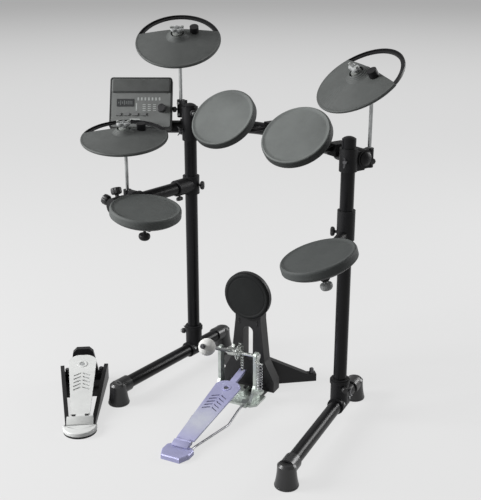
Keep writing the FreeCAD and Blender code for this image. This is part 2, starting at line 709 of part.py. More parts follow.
def cymbal(name, centre, tilt, azimuth, turn, pivot, bend, holder_z):
    normal = tilt_normal(tilt, azimuth)
    frame = disc_frame(pivot, tilt, azimuth, turn)
    foot = at_height(bend, holder_z + ROD_END_MARGIN)
    nodes[name + "_rod"] = bent_rod([foot, bend, pivot + normal * ROD_TIP], ROD_BEND_R, ROD_R)
    nodes[name + "_shell"] = placed(cymbal_shell(), frame)
    nodes[name + "_rubber"] = placed(cymbal_rubber(), frame)
    nodes[name + "_fittings"] = placed(cymbal_fittings(), frame)


CYMBALS = {
    "crash": (CRASH_CENTRE, CRASH_TILT, CRASH_AZIMUTH, CRASH_TURN, CRASH_PIVOT, CRASH_BEND,
              CRASH_HOLDER_Z),
    "ride": (RIDE_CENTRE, RIDE_TILT, RIDE_AZIMUTH, RIDE_TURN, RIDE_PIVOT, RIDE_BEND,
             RIDE_HOLDER_Z),
    "hihat": (HIHAT_CENTRE, HIHAT_TILT, HIHAT_AZIMUTH, HIHAT_TURN, HIHAT_PIVOT, HIHAT_BEND,
              HIHAT_HOLDER_Z)}
for cymbal_name, values in CYMBALS.items():
    cymbal(cymbal_name, *values)


# Drum pads

def pad_rod_axis(centre, tilt, azimuth):
    """Point of the rod axis under the middle of a pad."""
    return centre - tilt_normal(tilt, azimuth) * PAD_BOSS_DROP


def pad_head():
    """Rubber playing face with a rounded shoulder and a skirt over the shell."""
    shoulder = PAD_R - PAD_FACE_R
    return revolved([(0, -5), (PAD_R - 6, -5), (PAD_R - 6, -PAD_HEAD_H), (PAD_R - 1.5, -PAD_HEAD_H),
                     (PAD_R, -PAD_HEAD_H + 3), (PAD_R, -shoulder),
                     ("arc", (PAD_R - shoulder * 0.3, -shoulder * 0.3), (PAD_FACE_R, 0)),
                     (0, 0)])


def pad_shell(frame, rod_axis, rod_dir):
    """Plastic bowl under the head, with a neck and a bored boss for the rod."""
    wall = PAD_SHELL_WALL
    lip_r = PAD_R - 6 - FIT
    bowl = revolved([(0, -PAD_DEPTH), (PAD_FLOOR_R, -PAD_DEPTH),
                     ("arc", (PAD_R * 0.86, -PAD_DEPTH * 0.82), (PAD_R - 2, -PAD_HEAD_H - GAP)),
                     (lip_r, -PAD_HEAD_H - GAP), (lip_r, -5), (lip_r - wall, -5),
                     (lip_r - wall, -PAD_HEAD_H - wall), (PAD_FLOOR_R, -PAD_DEPTH + wall),
                     (0, -PAD_DEPTH + wall)])
    neck = Part.makeCylinder(PAD_NECK_R, PAD_BOSS_DROP - PAD_DEPTH, Vector(0, 0, -PAD_BOSS_DROP))
    body = placed(bowl.fuse(neck), frame)
    boss = Part.makeCylinder(PAD_BOSS_R, PAD_BOSS_LENGTH, rod_axis - rod_dir * (PAD_BOSS_LENGTH / 2),
                             rod_dir)
    bore = Part.makeCylinder(PAD_ROD_R + FIT, 300, rod_axis - rod_dir * 150, rod_dir)
    return body.fuse(boss).cut(bore).removeSplitter()


def pad_knob(frame, rod_axis, normal):
    """Round clamping knob below the boss; its stem ends on the boss wall."""
    knob = revolved([(0, -PAD_BOSS_R + 2), (PAD_KNOB_STEM_R, -PAD_BOSS_R + 2),
                     (PAD_KNOB_STEM_R, -PAD_BOSS_R - PAD_KNOB_STEM),
                     (PAD_KNOB_R, -PAD_BOSS_R - PAD_KNOB_STEM - 2),
                     ("arc", (PAD_KNOB_R + 1.5, -PAD_BOSS_R - PAD_KNOB_STEM - PAD_KNOB_LENGTH * 0.5),
                      (PAD_KNOB_R * 0.8, -PAD_BOSS_R - PAD_KNOB_STEM - PAD_KNOB_LENGTH)),
                     (0, -PAD_BOSS_R - PAD_KNOB_STEM - PAD_KNOB_LENGTH)])
    return placed(knob, Placement(rod_axis, frame.Rotation))


def drum_pad(name, centre, tilt, azimuth, rod_dir):
    frame = disc_frame(centre, tilt, azimuth)
    normal = tilt_normal(tilt, azimuth)
    rod_axis = pad_rod_axis(centre, tilt, azimuth)
    shell = pad_shell(frame, rod_axis, rod_dir)
    knob = pad_knob(frame, rod_axis, normal).cut(shell)
    if name == "floor":
        nodes["floor_shell"] = shell
        nodes["floor_knob"] = knob
    else:
        nodes[name + "_shell"] = Part.makeCompound([shell, knob])
    nodes[name + "_head"] = placed(pad_head(), frame)


def across(azimuth):
    """Level direction to the right of a pad that faces the azimuth."""
    return heading(azimuth + 90)


TOM_RODS = {}
tom_mounts = []
for tom_name, centre, tilt, azimuth in (("tom1", TOM1_CENTRE, TOM1_TILT, TOM1_AZIMUTH),
                                        ("tom2", TOM2_CENTRE, TOM2_TILT, TOM2_AZIMUTH)):
    run = across(azimuth)
    axis_point = pad_rod_axis(centre, tilt, azimuth)
    TOM_RODS[tom_name] = (axis_point, run)
    drum_pad(tom_name, centre, tilt, azimuth, run)
    corner = axis_point + run * PAD_ROD_REACH
    on_right = tom_name == "tom2" or corner.x > BAR_CORNER.x
    bar_dir = RIGHT_BAR if on_right else LEFT_BAR
    inward = LIFT.cross(bar_dir) * -1
    reach = (corner - BAR_CORNER).dot(inward)
    bar_point = at_height(corner - inward * reach, BAR_Z)
    clamp_at = at_height(bar_point, corner.z)
    socket_end = clamp_at + inward * (SLEEVE_R + 1)
    half = bar_dir * (TOM_CLAMP_LENGTH / 2)
    ring = rod(bar_point - half, bar_point + half, SLEEVE_R)
    block_front = min(SLEEVE_R + TOM_BLOCK_DEPTH, reach - PAD_ROD_BEND_R - 2)
    block = Part.makeBox(TOM_BLOCK_WIDTH, block_front, TOM_BLOCK_HEIGHT,
                         Vector(-TOM_BLOCK_WIDTH / 2, 0, -TOM_BLOCK_HEIGHT / 2))
    block = placed(block, frame_at(clamp_at, bar_dir * -1, LIFT))
    socket = rod(socket_end, clamp_at + inward * 200, PAD_ROD_R + FIT)
    bar_bore = rod(bar_point - half * 1.1, bar_point + half * 1.1, BORE_R)
    clamp = ring.fuse(block).cut(socket).cut(bar_bore).removeSplitter()
    rod_end = axis_point - run * PAD_ROD_END
    tom_mounts += [clamp, bent_rod([socket_end + inward * 0.2, corner, rod_end],
                                   PAD_ROD_BEND_R, PAD_ROD_R)]
nodes["tom_mounts"] = Part.makeCompound(tom_mounts)


# Snare arm on the left post, with the hi-hat and snare clamps

ARM_DIR = heading(ARM_AZIMUTH)
ARM_AT = LEFT_POST + LIFT * ARM_Z
ARM_START = ARM_AT + ARM_DIR * (SLEEVE_R + 2 * CROSS_STEP)
ARM_END = ARM_AT + ARM_DIR * ARM_LENGTH
SNARE_ROD_AXIS = pad_rod_axis(SNARE_CENTRE, SNARE_TILT, SNARE_AZIMUTH)
SNARE_CLAMP_AT = ARM_END - ARM_DIR * (ARM_CLAMP_LENGTH / 2)
SNARE_ROD_START = at_height(SNARE_CLAMP_AT, SNARE_ROD_AXIS.z)
SNARE_ROD_DIR = unit(SNARE_ROD_AXIS - SNARE_ROD_START)

collar_half = LIFT * (ARM_COLLAR_HEIGHT / 2)
arm_joint = rod(ARM_AT - collar_half, ARM_AT + collar_half, SLEEVE_R + CROSS_STEP)
arm_joint = arm_joint.fuse(rod(ARM_AT, ARM_AT + ARM_DIR * ARM_SOCKET_LENGTH, SLEEVE_R))
arm_joint = arm_joint.cut(rod(ARM_START, ARM_AT + ARM_DIR * 200, BORE_R))
arm_joint = arm_joint.cut(rod(ARM_AT - collar_half * 1.1, ARM_AT + collar_half * 1.1, BORE_R))

hihat_clamp_at = ARM_AT + ARM_DIR * ARM_HIHAT_AT
clamp_half = ARM_DIR * (ARM_CLAMP_LENGTH / 2)
barrel, rib, hihat_bore = rod_holder(HIHAT_BEND, HIHAT_HOLDER_Z, hihat_clamp_at)
hihat_clamp = rod(hihat_clamp_at - clamp_half, hihat_clamp_at + clamp_half, SLEEVE_R)
hihat_clamp = hihat_clamp.fuse([barrel, rib])
hihat_clamp = hihat_clamp.cut(rod(ARM_START, ARM_END + ARM_DIR * 50, BORE_R)).cut(hihat_bore)

snare_block_end = SNARE_ROD_START + SNARE_ROD_DIR * (SLEEVE_R + 18)
hanger = rod(SNARE_CLAMP_AT, SNARE_ROD_START - LIFT * (HOLDER_R + CROSS_STEP), HOLDER_R + 3)
snare_clamp = rod(SNARE_CLAMP_AT - clamp_half, ARM_END + ARM_DIR * 6, SLEEVE_R)
snare_clamp = snare_clamp.fuse([hanger, rod(SNARE_ROD_START, snare_block_end, HOLDER_R)])
snare_clamp = snare_clamp.cut(rod(ARM_START, ARM_END, BORE_R))
snare_socket = rod(SNARE_ROD_START, SNARE_ROD_START + SNARE_ROD_DIR * 300, PAD_ROD_R + FIT)
snare_clamp = snare_clamp.cut(snare_socket)
snare_rod = rod(SNARE_ROD_START + SNARE_ROD_DIR * 0.3,
                SNARE_ROD_AXIS + SNARE_ROD_DIR * PAD_ROD_END, PAD_ROD_R)
nodes["arm_tube"] = tube(ARM_START + ARM_DIR, ARM_END - ARM_DIR, TUBE_R, TUBE_WALL)
nodes["arm_clamps"] = Part.makeCompound([arm_joint.removeSplitter(), hihat_clamp.removeSplitter(),
                                         snare_clamp.removeSplitter(), snare_rod])
drum_pad("snare", SNARE_CENTRE, SNARE_TILT, SNARE_AZIMUTH, SNARE_ROD_DIR)


# Floor tom arm on the right post

FLOOR_ROD_AXIS = pad_rod_axis(FLOOR_CENTRE, FLOOR_TILT, FLOOR_AZIMUTH)
FLOOR_ROD_DIR = across(FLOOR_AZIMUTH)
floor_root = RIGHT_POST + LIFT * FLOOR_ARM_Z
floor_corner = FLOOR_ROD_AXIS - FLOOR_ROD_DIR * PAD_ROD_REACH
floor_dir = unit(floor_corner - floor_root)
floor_arm_end = floor_root + floor_dir * FLOOR_ARM_LENGTH
collar_low = RIGHT_POST + LIFT * (FLOOR_COLLAR_Z - FLOOR_COLLAR_HEIGHT / 2)
collar_high = RIGHT_POST + LIFT * (FLOOR_COLLAR_Z + FLOOR_COLLAR_HEIGHT / 2)
floor_casting = rod(collar_low, collar_high, SLEEVE_R)
floor_casting = floor_casting.fuse([
    rod(floor_root, floor_arm_end, FLOOR_ARM_R),
    rod(floor_arm_end - floor_dir * FLOOR_SOCKET, floor_arm_end, FLOOR_ARM_R + 3)])
floor_casting = floor_casting.cut(rod(collar_low - LIFT, collar_high + LIFT, BORE_R))
floor_seat = floor_arm_end - floor_dir * (FLOOR_SOCKET - 6)
floor_casting = floor_casting.cut(rod(floor_seat, floor_arm_end + floor_dir, PAD_ROD_R + FIT))
floor_rod = bent_rod([floor_seat + floor_dir * 0.3, floor_corner,
                      FLOOR_ROD_AXIS + FLOOR_ROD_DIR * PAD_ROD_END], PAD_ROD_BEND_R, PAD_ROD_R)
nodes["floor_arm"] = Part.makeCompound([floor_casting.removeSplitter(), floor_rod])
drum_pad("floor", FLOOR_CENTRE, FLOOR_TILT, FLOOR_AZIMUTH, FLOOR_ROD_DIR)


# Sound module, in a frame with X along the crossbar stub and Z out of the face

MODULE_BAR_POINT = LEFT_CROSSING - LEFT_BAR * MODULE_ALONG
MODULE_HINGE = MODULE_BAR_POINT + LIFT * MODULE_HINGE_RISE
face_el = math.radians(MODULE_FACE_ELEVATION)
MODULE_NORMAL = LEFT_BAR.cross(LIFT) * math.cos(face_el) + LIFT * math.sin(face_el)
MODULE_UP = MODULE_NORMAL.cross(LEFT_BAR)
MODULE_ORIGIN = MODULE_HINGE + MODULE_NORMAL * MODULE_HINGE_BACK + MODULE_UP * MODULE_HINGE_LOW
MODULE_FRAME = frame_at(MODULE_ORIGIN, LEFT_BAR, MODULE_NORMAL)
PANEL_Z = MODULE_DEPTH - PANEL_T


def rounded_wire(width, length, radius, z):
    """Rectangle with round corners, centred on the axis at height z."""
    x, y, k = width / 2, length / 2, radius * (1 - math.sqrt(0.5))
    edges = []
    for sx, sy in ((1, 1), (-1, 1), (-1, -1), (1, -1)):
        a = Vector(sx * x, sy * (y - radius), z)
        m = Vector(sx * (x - k), sy * (y - k), z)
        b = Vector(sx * (x - radius), sy * y, z)
        first, last = (a, b) if sx * sy > 0 else (b, a)
        if edges:
            edges.append(Part.LineSegment(end, first).toShape())
        else:
            start = first
        edges.append(Part.Arc(first, m, last).toShape())
        end = last
    edges.append(Part.LineSegment(end, start).toShape())
    return Part.Wire(edges)


def rounded_block(width, length, radius, low, high):
    return Part.Face(rounded_wire(width, length, radius, low)).extrude(Vector(0, 0, high - low))


panel_width = MODULE_WIDTH - 2 * PANEL_BORDER
panel_length = MODULE_LENGTH - 2 * PANEL_BORDER
panel_r = MODULE_CORNER_R - PANEL_BORDER / 2
shoulder_z = MODULE_DEPTH * 0.42
back = rounded_wire(MODULE_WIDTH - 2 * MODULE_BACK_INSET, MODULE_LENGTH - 2 * MODULE_BACK_INSET,
                    MODULE_CORNER_R, 0)
shoulder = rounded_wire(MODULE_WIDTH, MODULE_LENGTH, MODULE_CORNER_R, shoulder_z)
case = Part.makeLoft([back, shoulder], True, True)
case = case.fuse(rounded_block(MODULE_WIDTH, MODULE_LENGTH, MODULE_CORNER_R,
                               shoulder_z, MODULE_DEPTH))
case = case.cut(rounded_block(panel_width, panel_length, panel_r, PANEL_Z, MODULE_DEPTH + 1))
case = case.cut(rounded_block(panel_width - 8, panel_length - 8, panel_r,
                              PANEL_Z - PANEL_WELL, MODULE_DEPTH + 1))
hinge_local = Vector(0, -MODULE_HINGE_LOW, -MODULE_HINGE_BACK)
lug_start = hinge_local - Vector(MODULE_LUG_WIDTH / 2, 0, 0)
lug = Part.makeCylinder(MODULE_EAR_R, MODULE_LUG_WIDTH, lug_start, Vector(1, 0, 0))
lug_neck = Part.makeBox(MODULE_LUG_WIDTH, 2 * MODULE_EAR_R, MODULE_HINGE_BACK,
                        lug_start - Vector(0, MODULE_EAR_R, 0))
lug_bore = Part.makeCylinder(MODULE_PIN_R + FIT, MODULE_LUG_WIDTH * 2,
                             lug_start - Vector(MODULE_LUG_WIDTH / 2, 0, 0), Vector(1, 0, 0))
case = case.fuse([lug, lug_neck]).cut(lug_bore)
JACK_PLACES = [Vector(-MODULE_WIDTH / 2, y * JACK_PITCH / 2, JACK_Z) for y in (-1, 1)]
for jack in JACK_PLACES:
    case = case.cut(Part.makeCylinder(JACK_R, JACK_DEPTH, jack, Vector(1, 0, 0)))

panel = rounded_block(panel_width - 2 * FIT, panel_length - 2 * FIT, panel_r, PANEL_Z,
                      MODULE_DEPTH)
brow = rounded_block(panel_width - 2 * FIT, BROW_LENGTH, panel_r, PANEL_Z + 1,
                     MODULE_DEPTH + BROW_RISE)
brow = brow.makeChamfer(BROW_RISE * 0.8, [e for e in brow.Edges
                                          if e.BoundBox.ZMin > MODULE_DEPTH + BROW_RISE - 0.01
                                          and e.BoundBox.YMax < 0])
brow.translate(Vector(0, panel_length / 2 - FIT - BROW_LENGTH / 2, 0))
panel = panel.fuse(brow).removeSplitter()
window = rounded_block(DISPLAY_WIDTH + 2 * FIT, DISPLAY_LENGTH + 2 * FIT, 2.0,
                       MODULE_DEPTH - DISPLAY_T, MODULE_DEPTH + 1)
window.translate(Vector(DISPLAY_X, DISPLAY_Y, 0))
display = rounded_block(DISPLAY_WIDTH, DISPLAY_LENGTH, 2.0, MODULE_DEPTH - DISPLAY_T,
                        MODULE_DEPTH + 0.6)
display.translate(Vector(DISPLAY_X, DISPLAY_Y, 0))
knob_at = Vector(KNOB_X, KNOB_Y, 0)
panel = panel.cut(window).cut(Part.makeCylinder(KNOB_SHAFT_R + FIT, 90, knob_at))
knob = revolved([(0, MODULE_DEPTH + GAP), (KNOB_R, MODULE_DEPTH + GAP),
                 (KNOB_R - 1, MODULE_DEPTH + KNOB_HEIGHT - 2),
                 ("arc", (KNOB_R - 1.6, MODULE_DEPTH + KNOB_HEIGHT - 0.6),
                  (KNOB_R - 3, MODULE_DEPTH + KNOB_HEIGHT)), (0, MODULE_DEPTH + KNOB_HEIGHT)])
knob_mark = Part.makeBox(1.6, KNOB_R, 2, Vector(-0.8, KNOB_R * 0.35, MODULE_DEPTH + KNOB_HEIGHT - 1))
knob = knob.cut(knob_mark).fuse(Part.makeCylinder(KNOB_SHAFT_R, PANEL_T + 3,
                                                  Vector(0, 0, PANEL_Z - 2)))
knob.translate(knob_at)
BUTTONS = []
for index in range(BUTTON_COUNT):
    place = Vector(BUTTON_X + BUTTON_PITCH * index, BUTTON_Y, 0)
    flange_top = PANEL_Z - GAP
    cap = rounded_block(BUTTON_WIDTH, BUTTON_LENGTH, 2.0, flange_top - BUTTON_FLANGE,
                        MODULE_DEPTH + BUTTON_PROUD)
    flange = rounded_block(BUTTON_WIDTH + 4, BUTTON_LENGTH + 4, 2.0,
                           flange_top - BUTTON_FLANGE, flange_top)
    hole = rounded_block(BUTTON_WIDTH + 2 * GAP, BUTTON_LENGTH + 2 * GAP, 2.0 + GAP,
                         PANEL_Z - 1, MODULE_DEPTH + 1)
    hole.translate(place)
    button = cap.fuse(flange).removeSplitter()
    button.translate(place)
    panel = panel.cut(hole)
    BUTTONS.append("module_button_" + str(index + 1))
    nodes[BUTTONS[-1]] = placed(button, MODULE_FRAME)
nodes["module_case"] = placed(case.removeSplitter(), MODULE_FRAME)
nodes["module_panel"] = placed(panel, MODULE_FRAME)
nodes["module_display"] = placed(display, MODULE_FRAME)
nodes["module_knob"] = placed(knob, MODULE_FRAME)

ear_inner = MODULE_LUG_WIDTH / 2 + GAP
bracket_half = LEFT_BAR * (ear_inner + MODULE_EAR_WIDTH)
bracket = rod(MODULE_BAR_POINT - bracket_half, MODULE_BAR_POINT + bracket_half, SLEEVE_R)
for side in (-1, 1):
    ear = Part.makeCylinder(MODULE_EAR_R, MODULE_EAR_WIDTH, Vector(), Vector(1, 0, 0))
    stalk = Part.makeBox(MODULE_EAR_WIDTH, 2 * MODULE_EAR_R, MODULE_HINGE_RISE,
                         Vector(0, -MODULE_EAR_R, -MODULE_HINGE_RISE))
    shift = ear_inner if side > 0 else -ear_inner - MODULE_EAR_WIDTH
    bracket = bracket.fuse(placed(ear.fuse(stalk), frame_at(MODULE_HINGE + LEFT_BAR * shift,
                                                            LEFT_BAR, LIFT)))
pin_half = LEFT_BAR * (ear_inner + MODULE_EAR_WIDTH + 1.5)
bracket = bracket.cut(rod(MODULE_HINGE - pin_half, MODULE_HINGE + pin_half, MODULE_PIN_R + FIT))
bracket = bracket.cut(rod(MODULE_BAR_POINT - bracket_half * 1.1,
                          MODULE_BAR_POINT + bracket_half * 1.1, BORE_R))
module_pin = rod(MODULE_HINGE - pin_half, MODULE_HINGE + pin_half, MODULE_PIN_R)
nodes["module_bracket"] = Part.makeCompound([bracket.removeSplitter(), module_pin])


# Kick tower

KICK_FRAME = Placement(Vector(KICK_X, KICK_Y, 0), Rotation(LIFT, KICK_TURN))
RIGHT = Vector(1, 0, 0)
AHEAD = Vector(0, 1, 0)
tower_front = KICK_PAD_Y + KICK_PAD_T
tower_seat = KICK_PAD_T / 2
body = front_plate([(-TOWER_FOOT / 2, 0), (TOWER_FOOT / 2, 0), (TOWER_FOOT / 2, 34),
                    (TOWER_WAIST / 2 + 14, 96), (TOWER_WAIST / 2, TOWER_WAIST_Z),
                    (TOWER_WAIST / 2, KICK_PAD_Z), (-TOWER_WAIST / 2, KICK_PAD_Z),
                    (-TOWER_WAIST / 2, TOWER_WAIST_Z), (-TOWER_WAIST / 2 - 14, 96),
                    (-TOWER_FOOT / 2, 34)], TOWER_T)
body.translate(AHEAD * tower_front)
disc = Part.makeCylinder(KICK_PAD_R + TOWER_DISC_WALL, TOWER_DISC_T + tower_seat,
                         Vector(0, tower_front - tower_seat, KICK_PAD_Z), AHEAD)
disc = disc.makeChamfer(6, [e for e in disc.Edges
                            if e.BoundBox.YMin > tower_front + TOWER_DISC_T - 0.01])
slot_r = TOWER_SLOT_WIDTH / 2
slot = Part.makeBox(TOWER_SLOT_WIDTH, TOWER_T * 3, TOWER_SLOT_HIGH - TOWER_SLOT_LOW - slot_r,
                    Vector(-slot_r, 0, TOWER_SLOT_LOW))
slot = slot.fuse(Part.makeCylinder(slot_r, TOWER_T * 3, Vector(0, 0, TOWER_SLOT_HIGH - slot_r), AHEAD))
tongue = Part.makeBox(TOWER_FOOT - 40, tower_front - BASE_PLATE_FRONT - GAP + 4, TONGUE_T,
                      Vector(20 - TOWER_FOOT / 2, BASE_PLATE_FRONT + GAP, 0))
fins = []
spikes = []
fin_root = Vector(0, tower_front + TOWER_T * 0.55, 0)
for side in (-1, 1):
    fin = side_plate([(30, 0), (FIN_LENGTH, 0), (FIN_LENGTH, FIN_TIP_HEIGHT),
                      (FIN_LENGTH - 26, FIN_TIP_HEIGHT), (60, FIN_HEIGHT), (30, FIN_HEIGHT)], FIN_T)
    turn = Placement(fin_root, Rotation(LIFT, -side * FIN_ANGLE))
    spike_at = turn.multVec(Vector(0, FIN_LENGTH - 13, 0))
    fins.append(placed(fin, turn))
    spikes.append((spike_at, FIN_TIP_HEIGHT))
tower = body.fuse([disc, tongue] + fins).cut(slot)
tower = tower.cut(Part.makeCylinder(KICK_PAD_R + FIT, tower_seat + 1,
                                    Vector(0, tower_front - tower_seat - 1, KICK_PAD_Z), AHEAD))
for at, height in spikes:
    tower = tower.cut(Part.makeCylinder(SPIKE_R + FIT, height + 2, at - LIFT, LIFT))
nodes["kick_tower"] = placed(tower.removeSplitter(), KICK_FRAME)
kick_pad = revolved([(0, 0), (KICK_PAD_R, 0), (KICK_PAD_R, KICK_PAD_T - 5),
                     ("arc", (KICK_PAD_R - 1.5, KICK_PAD_T - 1.5), (KICK_PAD_R - 5, KICK_PAD_T)),
                     (0, KICK_PAD_T)])
nodes["kick_pad"] = placed(placed(kick_pad, frame_at(Vector(0, tower_front, KICK_PAD_Z), RIGHT,
                                                     AHEAD * -1)), KICK_FRAME)


def floor_spike(at, height):
    """Pointed bolt through a foot, with a round grip above it."""
    body = revolved([(0, 0), (SPIKE_R, 5), (SPIKE_R, height + GAP), (SPIKE_HEAD_R, height + GAP),
                     (SPIKE_HEAD_R, height + SPIKE_RISE - 2), (SPIKE_HEAD_R - 2, height + SPIKE_RISE),
                     (0, height + SPIKE_RISE)])
    body.translate(at)
    return body


floor_spikes = [placed(floor_spike(at, height), KICK_FRAME) for at, height in spikes]


# Kick pedal

AXLE_AT = Vector(0, 0, AXLE_Z)
BEATER_HEAD_Y = KICK_PAD_Y - BEATER_HEAD_R - 1.0
BEATER_SWING = BEATER_LEAN + math.degrees(math.asin(BEATER_HEAD_Y / BEATER_LENGTH))
FOOTBOARD_REACH = SPROCKET_R - FOOTBOARD_HINGE_Y
CHAIN_TRAVEL = math.radians(BEATER_SWING) * SPROCKET_R
KICK_PRESS = math.degrees(CHAIN_TRAVEL / FOOTBOARD_REACH)
upright_out = UPRIGHT_SPAN / 2 + UPRIGHT_T / 2
plate_half = upright_out + BASE_PLATE_MARGIN

base_plate = prism([(-plate_half, -BASE_PLATE_BACK + 16), (-plate_half + 16, -BASE_PLATE_BACK),
                    (plate_half - 16, -BASE_PLATE_BACK), (plate_half, -BASE_PLATE_BACK + 16),
                    (plate_half, BASE_PLATE_FRONT), (-plate_half, BASE_PLATE_FRONT)], BASE_PLATE_T)
jaw = side_plate([(-8, BASE_PLATE_T - 1), (BASE_PLATE_FRONT, BASE_PLATE_T - 1),
                  (BASE_PLATE_FRONT, TONGUE_T), (BASE_PLATE_FRONT + 16, TONGUE_T),
                  (BASE_PLATE_FRONT + 16, TONGUE_T + 6), (BASE_PLATE_FRONT + 6, TONGUE_T + 12),
                  (-8, TONGUE_T + 12)], 44)
wire_blocks = []
for side in (-1, 1):
    wire_blocks.append(Part.makeBox(20, 24, 15, Vector(side * WIRE_FRONT_X - 10,
                                                       -BASE_PLATE_BACK - 8, 0)))
wire_z = HEEL_T / 2
wire_front = -BASE_PLATE_BACK + 10
base_plate = base_plate.fuse([jaw] + wire_blocks)
heel_front = FOOTBOARD_HINGE_Y - HINGE_KNUCKLE_R - 4
wires = []
wire_bores = []
for side in (-1, 1):
    points = [Vector(side * WIRE_HEEL_X, heel_front - 16, wire_z),
              Vector(side * WIRE_HEEL_X, heel_front + 16, wire_z),
              Vector(side * WIRE_BOW_X, WIRE_BOW_Y, wire_z),
              Vector(side * WIRE_FRONT_X, -BASE_PLATE_BACK - 34, wire_z),
              Vector(side * WIRE_FRONT_X, wire_front, wire_z)]
    wires.append(bent_rod(points, 24.0, WIRE_R))
    wire_bores.append(rod(points[0] - AHEAD * 0.3, points[1], WIRE_R + FIT))
    wire_bores.append(rod(points[3], points[4] + AHEAD * 0.3, WIRE_R + FIT))
for bore in wire_bores:
    base_plate = base_plate.cut(bore)
nodes["base_wires"] = placed(Part.makeCompound(wires), KICK_FRAME)

uprights = []
for side in (-1, 1):
    column = side_plate([(16 - UPRIGHT_FOOT_WIDTH, BASE_PLATE_T), (16, BASE_PLATE_T),
                         (UPRIGHT_WIDTH / 2, 52), (UPRIGHT_HEAD_R * 0.94, AXLE_Z),
                         (-UPRIGHT_HEAD_R * 0.94, AXLE_Z), (-UPRIGHT_WIDTH / 2, 52)], UPRIGHT_T)
    head = Part.makeCylinder(UPRIGHT_HEAD_R, UPRIGHT_T, AXLE_AT - RIGHT * (UPRIGHT_T / 2), RIGHT)
    column = column.fuse(head)
    column.translate(RIGHT * (side * UPRIGHT_SPAN / 2))
    uprights.append(column)
CRANK_DROP = BEATER_SWING / 2
crank_y = -CRANK_LENGTH * math.cos(math.radians(CRANK_DROP))
crank_z = AXLE_Z - CRANK_LENGTH * math.sin(math.radians(CRANK_DROP))
CRANK_TIP = Vector(0, crank_y, crank_z)
lug_low = SPRING_FOOT_Z - 8
spring_lug = Part.makeBox(SPRING_X + SPRING_R + 2 - UPRIGHT_SPAN / 2, 20, 8,
                          Vector(UPRIGHT_SPAN / 2, crank_y - 10, lug_low))
uprights[1] = uprights[1].fuse(spring_lug)
axle_bore = rod(AXLE_AT - RIGHT * 200, AXLE_AT + RIGHT * 200, AXLE_R + FIT)
uprights = [column.cut(axle_bore).removeSplitter() for column in uprights]
nodes["pedal_base"] = placed(Part.makeCompound([base_plate.removeSplitter()] + uprights), KICK_FRAME)

# Axle with the beater hub, the sprocket and the spring crank
lean = math.radians(BEATER_LEAN)
BEATER_DIR = Vector(0, -math.sin(lean), math.cos(lean))
BEATER_AHEAD = Vector(0, math.cos(lean), math.sin(lean))
crank_start = upright_out + GAP
crank_t = 5.0
axle = rod(AXLE_AT - RIGHT * (upright_out + 8), AXLE_AT + RIGHT * (crank_start + crank_t), AXLE_R)
hub = rod(AXLE_AT + RIGHT * (HUB_X - HUB_WIDTH / 2), AXLE_AT + RIGHT * (HUB_X + HUB_WIDTH / 2), HUB_R)
tooth_step = 360.0 / SPROCKET_TEETH
rim = []
for index in range(SPROCKET_TEETH):
    for share, radius in ((0.0, SPROCKET_R - 5.5), (0.35, SPROCKET_R - 2.3), (0.65, SPROCKET_R - 2.3)):
        a = math.radians(tooth_step * (index + share))
        rim.append((math.cos(a) * radius, AXLE_Z + math.sin(a) * radius))
sprocket = side_plate(rim, SPROCKET_T)
sprocket_hub = rod(AXLE_AT - RIGHT * 9, AXLE_AT + RIGHT * 9, HUB_R)
holes = [Part.makeCylinder(3.6, 20, Vector(-10, 16.5 * math.cos(a), AXLE_Z + 16.5 * math.sin(a)), RIGHT)
         for a in [math.radians(60 * k) for k in range(6)]]
for hole in holes:
    sprocket = sprocket.cut(hole)
crank = rod(AXLE_AT + RIGHT * crank_start, AXLE_AT + RIGHT * (crank_start + crank_t), AXLE_R + 4)
crank_tip = CRANK_TIP + RIGHT * crank_start
crank_arm = side_plate([(0, -5), (CRANK_LENGTH, -4), (CRANK_LENGTH, 4), (0, 5)], crank_t)
crank_arm = placed(crank_arm, frame_at(AXLE_AT + RIGHT * (crank_start + crank_t / 2), RIGHT,
                                       RIGHT.cross(unit(CRANK_TIP - AXLE_AT))))
crank_pin = rod(crank_tip, CRANK_TIP + RIGHT * (SPRING_X + SPRING_R + 2), 2.6)
crank_eye = rod(crank_tip, crank_tip + RIGHT * crank_t, 5)
axle = axle.fuse([hub, sprocket, sprocket_hub, crank, crank_arm, crank_pin, crank_eye])
hub_at = AXLE_AT + RIGHT * HUB_X
axle = axle.cut(rod(hub_at - BEATER_DIR * 60, hub_at + BEATER_DIR * 60, BEATER_ROD_R + FIT))
nodes["pedal_axle"] = placed(axle.removeSplitter(), KICK_FRAME)

HEAD_AT = hub_at + BEATER_DIR * BEATER_LENGTH
beater_bore_r = BEATER_ROD_R + FIT
nut_low = HEAD_AT + BEATER_DIR * (math.sqrt(BEATER_HEAD_R ** 2 - beater_bore_r ** 2) + FIT)
nut_high = nut_low + BEATER_DIR * BEATER_NUT_T
beater_rod = rod(hub_at - BEATER_DIR * BEATER_ROD_TAIL, nut_high, BEATER_ROD_R)
beater_rod = beater_rod.fuse(rod(nut_low, nut_high, BEATER_NUT_R)).removeSplitter()
nodes["beater_rod"] = placed(beater_rod, KICK_FRAME)
beater_head = revolved([(0, -BEATER_HEAD_R), ("arc", (BEATER_HEAD_R, 0), (0, BEATER_HEAD_R))])
beater_head = placed(beater_head, frame_at(HEAD_AT, RIGHT, BEATER_AHEAD))
beater_head = beater_head.cut(rod(hub_at, nut_high, beater_bore_r))
nodes["beater_head"] = placed(beater_head, KICK_FRAME)

# Footboard, built level with its hinge at zero and then tipped up
slope = math.radians(FOOTBOARD_SLOPE)
board_length = (FOOTBOARD_TOE_Y - FOOTBOARD_HINGE_Y) / math.cos(slope)
tongue_end = FOOTBOARD_REACH / math.cos(slope)


